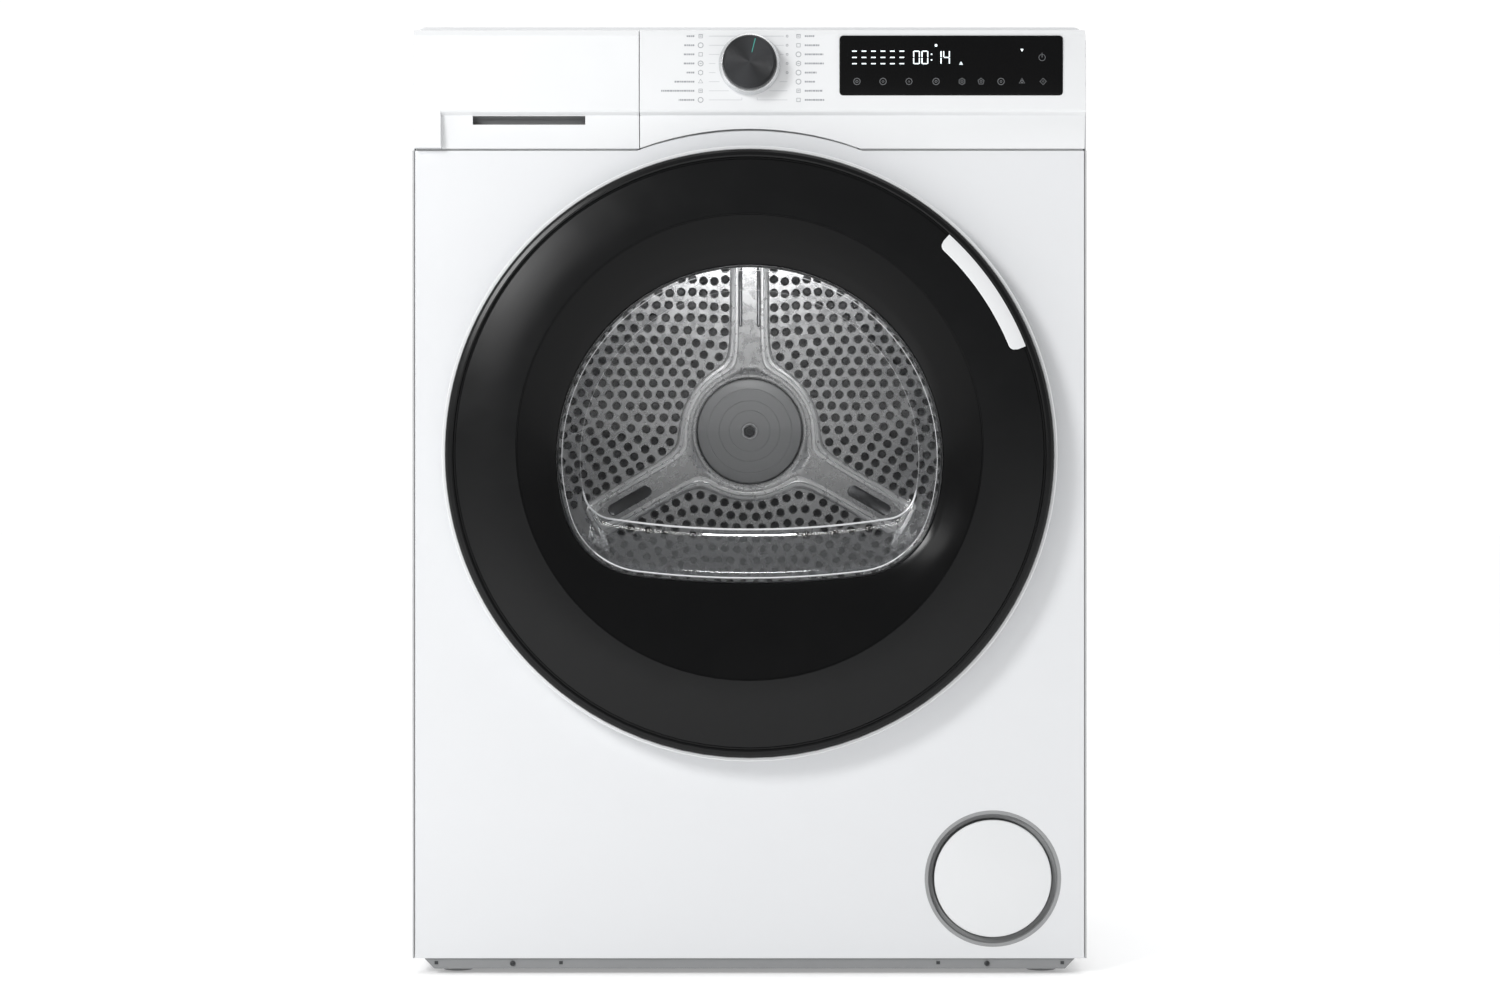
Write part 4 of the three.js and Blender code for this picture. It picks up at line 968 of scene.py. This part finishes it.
def knob():
    """The dark turned cap with a knurled side, its pointer, and the silver skirt."""
    face = depth_of(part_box("knob_cap")[0].y)
    foot = depth_of(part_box("knob_skirt")[0].y) - 0.3
    rings = []
    for r, depth, grip in ((3, foot + 8, 0), (23.4, foot, 0), (24.0, foot - 0.8, 0.2),
                           (24.0, face + 3.2, 0.2),
                           (23.8, face + 2.6, 0), (23.5, face + 0.9, 0), (22.6, face + 0.1, 0),
                           (21.8, face, 0),
                           (21.4, face + 0.25, 0), (12, face + 0.45, 0), (1, face + 0.5, 0)):
        ring = []
        for i in range(288):
            a = 2 * math.pi * i / 288
            reach = r + grip * math.cos(72 * a)
            ring.append((KNOB.x + reach * MM * math.sin(a), y_at(depth), KNOB.z + reach * MM * math.cos(a)))
        rings.append(ring)
    shape = Shape().rings(rings, closed=False)
    disc_fan(shape, rings[-1], (KNOB.x, y_at(face + 0.5), KNOB.z))
    disc_fan(shape, rings[0], (KNOB.x, y_at(foot + 8), KNOB.z))
    cap = shape.made("knob_cap_fine", "dark_plastic", "knob", KNOB_FACE, sharp=24)
    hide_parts("knob_cap")
    pointer = Shape()
    turn = math.radians(14)
    along = Vector((math.sin(turn), 0, math.cos(turn)))
    across = Vector((math.cos(turn), 0, -math.sin(turn)))
    outline = []
    for reach, half in ((8.5, 0.35), (21.0, 0.42), (21.0, -0.42), (8.5, -0.35)):
        point = along * reach + across * half
        outline.append((KNOB.x / MM + point.x, KNOB.z / MM + point.z))
    raised(pointer, outline, lambda z: face + 0.3, 0.2, 0.4)
    # the pointer's teal carries a painted glow
    pointer.made("knob_pointer", "dark_plastic", "knob", TEAL)
    skirt = lathe([(6, -12.6), (27.2, -12.6), (27.3, -15.4), (26.8, -16.6), (25.6, -18.6), (24.9, -19.6),
                   (24.5, -20), (6, -20)], KNOB, 144).made("knob_skirt_fine", "silver_trim", "knob", sharp=24)
    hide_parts("knob_skirt")


def dial_marks():
    """Plain bars, shapes and leader lines round the knob, in place of lettering."""
    rows = [833.4 - 8.1 * i for i in range(8)]
    left_text = (55.7, 57.5, 58.4, 58.4, 55.7, 66.4, 78.0, 62.4)
    right_text = (57.0, 61.5, 65.0, 65.4, 59.0, 57.5, 64.8, 65.8)
    left_line = (6.8, 20.1, 26.6, 30.2, 30.2, 26.6, 18.3, 6.8)
    right_line = (6.6, 19.0, 26.6, 30.2, 30.2, 26.6, 17.5, 6.6)
    text, lines, shapes = Shape(), Shape(), Shape()
    for row, z in enumerate(rows):
        for side, ends in ((-1, left_text), (1, right_text)):
            x, end = 49.0, ends[row]
            while x < end:
                step = min(1.1 + 0.5 * ((row * 3 + int(x)) % 3), end - x + 0.4)
                bar(text, *sorted((side * x, side * (x + step))), z - 0.75, z + 0.75, on_fascia)
                x += step + 0.45
            sides = (4, 16, 4, 16, 6, 3, 4, 16)[row] if side < 0 else (4, 4, 16, 6, 16, 16, 4, 4)[row]
            turn = math.radians(45 if sides == 4 else 0)
            loop_mark(shapes, side * 43.4, z, 2.5, sides, 0.6, on_fascia, turn)
            if row % 3 == 0:
                bar(shapes, side * 43.4 - 0.9, side * 43.4 + 0.9, z - 0.3, z + 0.3, on_fascia)
        bar(lines, -36.1, -left_line[row], z - 0.2, z + 0.2, on_fascia)
        if right_line[row] < 30:
            bar(lines, right_line[row], 33.5 if row > 4 else 30.5, z - 0.2, z + 0.2, on_fascia)
        if row < 5:
            loop_mark(shapes, 33.3, z, 1.2, 6, 0.5, on_fascia)
    for side in (-1, 1):
        bar(lines, *sorted((side * 6.6, side * 7.0)), rows[7], rows[7] + 2.2, on_fascia)
        bar(lines, *sorted((side * 6.6, side * 7.0)), rows[0] - 0.8, rows[0], on_fascia)
    text.made("dial_text_bars", "grey_plastic", "cabinet", INK)
    lines.made("dial_leader_lines", "pale_grey_plastic", "cabinet", FAINT_INK)
    shapes.made("dial_symbols", "grey_plastic", "cabinet", INK)


SEGMENTS = {0: "abcdef", 1: "bc", 2: "abged", 3: "abgcd", 4: "fgbc", 5: "afgcd"}


def digit(shape, x, z, width, height, lit):
    """One seven-segment place, with the named segments lit."""
    w = 0.95
    middle = z + height / 2
    spots = {
        "a": (x + w, x + width - w, z + height - w, z + height), "d": (x + w, x + width - w, z, z + w),
        "g": (x + w, x + width - w, middle - w / 2, middle + w / 2),
        "f": (x, x + w, middle + 0.4, z + height - 0.5), "e": (x, x + w, z + 0.5, middle - 0.4),
        "b": (x + width - w, x + width, middle + 0.4, z + height - 0.5),
        "c": (x + width - w, x + width, z + 0.5, middle - 0.4),
    }
    for key in lit:
        bar(shape, *spots[key], on_display)


def display():
    """The black window, its thin rim, and plain segments, digits and round icons."""
    low, high = DISPLAY[0] / MM, DISPLAY[1] / MM
    front = on_display(0)
    rings = []
    for inset, depth in ((0.4, front + 2), (0.2, front + 0.5), (0.5, front + 0.1), (1.0, front)):
        outline = rounded_rectangle(low.x + inset, high.x - inset, low.z + inset, high.z - inset, 3.4)
        rings.append([(x * MM, y_at(depth), z * MM) for x, z in outline])
    shape = Shape().rings(rings, closed=False)
    shape.faces += [tuple(range(len(rings[0]))), tuple(range(3 * len(rings[0]), 4 * len(rings[0])))]
    made = shape.made("display_glass", "black_gloss", "cabinet", DEEP_BLACK)
    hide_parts("display_window")
    rim = []
    for out, r, lift in ((1.1, 1.6, 0.9), (1.1, 1.6, -0.1), (-0.1, 3.4, -0.1), (-0.1, 3.4, 0.9)):
        outline = rounded_rectangle(low.x - out, high.x + out, low.z - out, high.z + out, r)
        rim.append([(x * MM, y_at(on_fascia(z) + lift), z * MM) for x, z in outline])
    Shape().rings(rim).made("display_rim", "white_plastic", "cabinet")
    lit, dim = Shape(), Shape()
    for cell in range(6):
        digit(lit, 90 + 8.4 * cell, 808.3, 6.0, 12.0, "agd")
    for x, value in ((145, 0), (152.4, 0), (164.2, 1), (171.6, 4)):
        digit(lit, x, 808.3, 6.0, 12.0, SEGMENTS[value])
    for z in (811.5, 816.5):
        bar(lit, 160.7, 161.9, z, z + 1.2, on_display)
    loop_mark(lit, 165.3, 825.0, 1.2, 12, 1.1, on_display)
    loop_mark(lit, 187.4, 808.9, 1.8, 3, 0.9, on_display)
    loop_mark(lit, 241.5, 821.0, 1.6, 3, 1.2, on_display, math.pi)
    for i, x in enumerate((95.2, 118.3, 141.3, 165.3, 188.3, 205.2, 222.9, 241.5, 260.2)):
        loop_mark(dim, x, 793.0, 3.2, (20, 20, 8, 20, 6, 5, 20, 3, 4)[i], 0.7, on_display)
        loop_mark(dim, x, 793.0, 1.3, (20, 4, 3, 8, 20, 6, 5, 20, 3)[i], 0.6, on_display)
    loop_mark(dim, 259.3, 814.2, 3.1, 24, 0.55, on_display)
    bar(dim, 258.95, 259.65, 814.2, 818.4, on_display)
    lit.made("display_lit", "white_plastic", "cabinet", LIT)
    dim.made("display_icons", "grey_plastic", "cabinet", UNLIT)


def seams_and_grip():
    """Pale strips behind the joints between panels, and a grey lining in the finger slot, painted shade for
    its hollow.
    """
    strips = Shape()
    strips.box((-0.297, y_at(1.2), 0.7333), (-0.0995, y_at(3.5), 0.7343))
    strips.box((0.0985, y_at(1.2), 0.7333), (0.297, y_at(3.5), 0.7343))
    strips.made("seam_strips", "grey_plastic", "cabinet", SEAM_GREY)
    arc = sector([(288.2, 1.4), (288.8, 1.4), (288.8, 3.4), (288.2, 3.4)], DOOR, 70.6, 109.4)
    arc.made("arch_seam_strip", "grey_plastic", "cabinet", SEAM_GREY)
    profile = [(-3.2, 765.2), (3.0, 764.6), (7.6, 761), (8.6, 756), (8.6, 752), (9.6, 752),
               (9.6, 757), (8.2, 762.4),
               (3.2, 766.2), (-3.0, 766.6)]
    rings = []
    for x in (-247.5, -246, -200, -150, -146.5, -145):
        shrink = 0.6 if x in (-247.5, -145) else 0.0
        rings.append([(x * MM, y_at(d + shrink), (z - shrink) * MM) for d, z in profile])
    lining = Shape().rings(rings, closed=False)
    n = len(profile)
    lining.faces += [tuple(range(n)), tuple(range(5 * n, 6 * n))]
    # the grey lining paints the finger slot's shade
    lining.made("grip_slot_shade", "grey_plastic", "tank_drawer", RECESS_SHADE_GREY)


def side_strips():
    """The narrow grey gap between the front and each side panel."""
    strips = Shape()
    for side in (-1, 1):
        x0, x1 = sorted((side * 0.2984, side * 0.3))
        strips.box((x0, y_at(0.3), 0.014), (x1, y_at(3.7), 0.733))
    strips.made("side_strips", "grey_plastic", "cabinet", SEAM_GREY)


def flap():
    """The round service cover and the grey groove round it, the grey being painted shade in the groove."""
    groove = [(57.8, -0.2), (60.5, -0.25), (60.8, 0.05), (60.4, 0.25), (58.3, 0.4), (58.3, 3),
              (57.6, 6.0), (56.8, 6.9), (53.8, 6.9), (53.2, 7.5), (53.2, 10), (58.35, 10), (58.45, 3),
              (58.45, 0.6), (57.5, 0.2)]
    lathe(groove[::-1], FLAP, 128).made("flap_groove", "grey_plastic", "cabinet", RECESS_SHADE_GREY)
    low = depth_of(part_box("access_flap")[0].y)
    cover = lathe([(0.05, low + 0.1), (50.4, low + 0.1), (51.6, low + 0.35), (52.2, low + 1.2),
                   (52.2, low + 1.6),
                   (49.8, low + 1.7), (49.6, low + 1.4), (0.05, low + 1.4)], FLAP, 128)
    axis_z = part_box("access_flap")[0].z + 0.0152
    for side in (-1, 1):
        x = FLAP.x + side * 0.019
        cover.box((x - 0.002, y_at(low + 1.2), axis_z - 0.002), (x + 0.002, y_at(low + 5), axis_z + 0.006))
        rings = []
        for reach, r in ((-0.0015, 3.0), (0.0015, 3.0), (0.0016, 1.8), (0.0055, 1.8)):
            ring = []
            for i in range(20):
                a = 2 * math.pi * i / 20
                depth = low + 5 + r * math.sin(a)
                ring.append((x + side * reach, y_at(depth), axis_z + r * MM * math.cos(a)))
            rings.append(ring)
        cover.rings(rings, closed=False)
        disc_fan(cover, rings[0], (x - side * 0.0015, y_at(low + 5), axis_z))
        disc_fan(cover, rings[-1], (x + side * 0.0055, y_at(low + 5), axis_z))
    made = cover.made("access_cover", "white_plastic", "flap", sharp=28)
    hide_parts("access_flap")


def plinth_details():
    """Screws and small notched tabs along the plinth under the front panel."""
    tabs, screws = Shape(), Shape()
    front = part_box("base_tray")[0].y
    for x in (-279, -168, 168, 278.6):
        tabs.box((x * MM - 0.0016, front - 0.0004, 0.0084), (x * MM + 0.0016, front + 0.001, 0.0112))
    for x in (-211, 211.5):
        screw(screws, Vector((x * MM, front - 0.0002, 0.0092)), Vector((0, -1, 0)), 2.4)
    tabs.made("plinth_tabs", "dark_plastic", "cabinet")
    screws.made("plinth_screws", "dark_plastic", "cabinet")


def rear_details():
    """Screws round the rear panel, and pressed stiffening ribs."""
    screws = Shape()
    rear = y_at(546)
    for x in (-0.288, -0.144, 0.0, 0.144, 0.288):
        for z in (0.024, 0.822):
            screw(screws, Vector((x, rear, z)), Vector((0, 1, 0)), 4.2)
    for x in (-0.288, 0.288):
        for z in (0.19, 0.35, 0.51, 0.67):
            screw(screws, Vector((x, rear, z)), Vector((0, 1, 0)), 4.2)
    screws.made("rear_screws", "bright_steel", "cabinet")
    ribs = Shape()
    for x0, x1, z in ((-262, 200, 716), (-262, 262, 762), (-90, 262, 250), (-90, 262, 200), (-90, 262, 150),
                      (-90, 262, 100)):
        rib(ribs, x0, x1, z, 14, 546, 3.0)
    ribs.made("rear_ribs", "zinc_steel", "cabinet", sharp=60)


def rib(shape, x0, x1, z, width, depth, height):
    """A rounded rib pressed out of a sheet that faces the rear."""
    rings = []
    for inset, lift in ((0, -0.2), (0, 0), (1.6, 0.7 * height), (3.2, height), (width * 0.36, height * 1.03)):
        outline = rounded_rectangle(x0 + inset, x1 - inset, z - width / 2 + inset, z + width / 2 - inset,
                                    width / 2 - inset - 0.01)
        rings.append([(x * MM, y_at(depth + lift), pz * MM) for x, pz in outline])
    shape.rings(rings, closed=False)
    n = len(rings[0])
    first = len(shape.verts) - 5 * n
    shape.faces += [tuple(range(first, first + n)), tuple(range(first + 4 * n, first + 5 * n))]


def door_inside():
    """Stiffening beads on the door's inner lining: three rings and 24 short radial ones."""
    beads = Shape()
    for r in (206, 214, 245):
        profile = [(r - 1.6, -4.4), (r - 1.2, -3.5), (r, -3.1), (r + 1.2, -3.5), (r + 1.6, -4.4)]
        beads.rings([circle(q, d, DOOR, 160) for q, d in profile])
    for k in range(24):
        a = math.radians(7.5 + 15 * k)
        along = Vector((math.sin(a), 0, math.cos(a)))
        across = Vector((math.cos(a), 0, -math.sin(a)))
        rings = []
        for reach in (218, 220, 240, 242):
            low = 0.5 if reach in (218, 242) else 1.0
            ring = []
            for side, lift in ((-1.4, -4.4), (-0.9, -4.2 + low), (0.9, -4.2 + low), (1.4, -4.4)):
                ring.append(Vector((0, y_at(lift), DOOR.z)) + (along * reach + across * side) * MM)
            rings.append(ring)
        beads.rings(rings, closed=False)
        first = len(beads.verts) - 16
        beads.faces += [tuple(range(first, first + 4)), tuple(range(first + 12, first + 16))]
    beads.made("door_lining_beads", "white_plastic", "door", sharp=50)


def filter_screens():
    """The lint filter's fine mesh windows, in their frames."""
    low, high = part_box("lint_filter")
    wires, frames = Shape(), Shape()
    x0, x1, z0, z1 = -0.084, 0.084, low.z + 0.012, high.z - 0.034
    for y, out in ((low.y, -1), (high.y, 1)):
        near, far = sorted((y - out * 0.0002, y + out * 0.0003))
        for i in range(57):
            x = x0 + (x1 - x0) * i / 56
            wires.box((x - 0.0003, near, z0), (x + 0.0003, far, z1))
        for i in range(45):
            z = z0 + (z1 - z0) * i / 44
            wires.box((x0, near, z - 0.0003), (x1, far, z + 0.0003))
        near, far = sorted((y - out * 0.0002, y + out * 0.0007))
        for fx in (x0, (2 * x0 + x1) / 3, (x0 + 2 * x1) / 3, x1):
            frames.box((fx - 0.0022, near, z0 - 0.003), (fx + 0.0022, far, z1 + 0.003))
        for fz in (z0, z1):
            frames.box((x0 - 0.0022, near, fz - 0.003), (x1 + 0.0022, far, fz + 0.003))
    wires.made("filter_mesh", "grey_plastic", "filter")
    rounded(frames.made("filter_frames", "pale_grey_plastic", "filter"), 0.3)


# ------------------------------------------------------------------ run order
door_shroud()
door_frame()
door_bowl()
door_seal()
handle_plate()
door_screws()
drum_back()
hub_cap()
drum_shell()
knob()
dial_marks()
display()
seams_and_grip()
flap()
plinth_details()
side_strips()
rear_details()
door_inside()
filter_screens()

slots = {row["node"]: row["material_slot"] for row in frame["record"]["subparts"]}
for node in ("front_panel", "left_side_panel", "right_side_panel", "control_panel", "tank_front"):
    refined(node, "white_steel" if "side" in node or node == "front_panel" else "white_plastic", 0.7)
refined("top_panel", "worktop_white", 1.2, segments=3)
refined("base_tray", "grey_plastic", 0.6)
for node, width in (("front_bulkhead", 0.8), ("water_tank", 1.5), ("lint_filter", 0.5), ("tank_tray", 0.6),
                    ("hinge_bracket", 0.4), ("door_hinge_leaf", 0.4), ("door_lock", 0.5),
                    ("exchanger_housing", 0.8),
                    ("filter_pocket", 0.6), ("cable_gland", 0.3), ("rear_panel", 0.5), ("compressor", 1.0),
                    ("motor_housing", 0.8), ("blower_housing", 0.8), ("rear_air_duct", 0.6),
                    ("drain_pump", 0.8)):
    refined(node, slots[node], width)
for side in (1, 2, 3):
    refined(f"lifter_{side}", slots[f"lifter_{side}"], 2.5, segments=3)
for corner in ("front_left", "front_right", "rear_left", "rear_right"):
    refined(f"foot_{corner}", slots[f"foot_{corner}"], 0.8)

for name, node in frame["nodes"].items():
    node.data.materials.clear()
    # the flap's bezel takes the grey of painted shade, as the groove does
    look = RECESS_SHADE_GREY if name == "flap_bezel" else LOOKS[slots[name]]
    node.data.materials.append(look.material)


# ------------------------------------------------------------- floor and light
def stage():
    """A wide plain pale floor."""
    mesh = bpy.data.meshes.new("floor")
    mesh.from_pydata([(-40, -40, 0), (40, -40, 0), (40, 40, 0), (-40, 40, 0)], [], [(0, 1, 2, 3)])
    look = moulded("floor_paint", (0.95, 0.95, 0.95), 0.9, 200, 0.02, 0.003)
    look.put(Emission_Color=(1, 1, 1, 1), Emission_Strength=0.24)
    mesh.materials.append(look.material)
    made = bpy.data.objects.new("floor", mesh)
    bpy.context.scene.collection.objects.link(made)


def area_light(name, place, target, size, watts, color=(1, 1, 1)):
    data = bpy.data.lights.new(name, "AREA")
    data.shape = "RECTANGLE"
    data.size, data.size_y = size
    data.energy = watts
    data.color = color
    made = bpy.data.objects.new(name, data)
    bpy.context.scene.collection.objects.link(made)
    made.location = place
    made.rotation_euler = (Vector(target) - Vector(place)).to_track_quat("-Z", "Y").to_euler()


def lights():
    world = bpy.data.worlds.new("studio")
    bpy.context.scene.world = world
    world.use_nodes = True
    background = world.node_tree.nodes["Background"]
    background.inputs["Color"].default_value = (1, 1, 1, 1)
    # brighter behind the machine than in front of it, so that the front keeps its shadows
    place = world.node_tree.nodes.new("ShaderNodeTexCoord")
    parts = world.node_tree.nodes.new("ShaderNodeSeparateXYZ")
    share = world.node_tree.nodes.new("ShaderNodeMapRange")
    share.inputs["From Min"].default_value = -0.9
    share.inputs["From Max"].default_value = 0.3
    share.inputs["To Min"].default_value = 0.28
    share.inputs["To Max"].default_value = 1.05
    world.node_tree.links.new(place.outputs["Generated"], parts.inputs["Vector"])
    world.node_tree.links.new(parts.outputs["Y"], share.inputs["Value"])
    world.node_tree.links.new(share.outputs["Result"], background.inputs["Strength"])
    middle = (0, 0, 0.45)
    area_light("key", (-1.4, -2.5, 1.6), middle, (0.7, 0.7), 39)
    area_light("sheen", (-1.4, -4.2, 1.45), middle, (0.7, 0.7), 6)
    area_light("top", (0.3, 0.2, 3.2), middle, (2.4, 1.8), 11)
    area_light("drum_lamp", (0, y_at(126), 0.744), (0, y_at(494), DRUM.z + 0.02), (0.19, 0.05), 0.7)
    bpy.context.scene.view_settings.view_transform = "Standard"


def camera():
    lens = bpy.data.cameras.new("camera")
    lens.lens = 81
    lens.sensor_width = 36
    made = bpy.data.objects.new("camera", lens)
    bpy.context.scene.collection.objects.link(made)
    made.location = (0.0004, FRONT - 3.004, 0.422)
    made.rotation_euler = (math.pi / 2, 0, 0)
    bpy.context.scene.camera = made


stage()
lights()
camera()
bpy.context.view_layer.update()
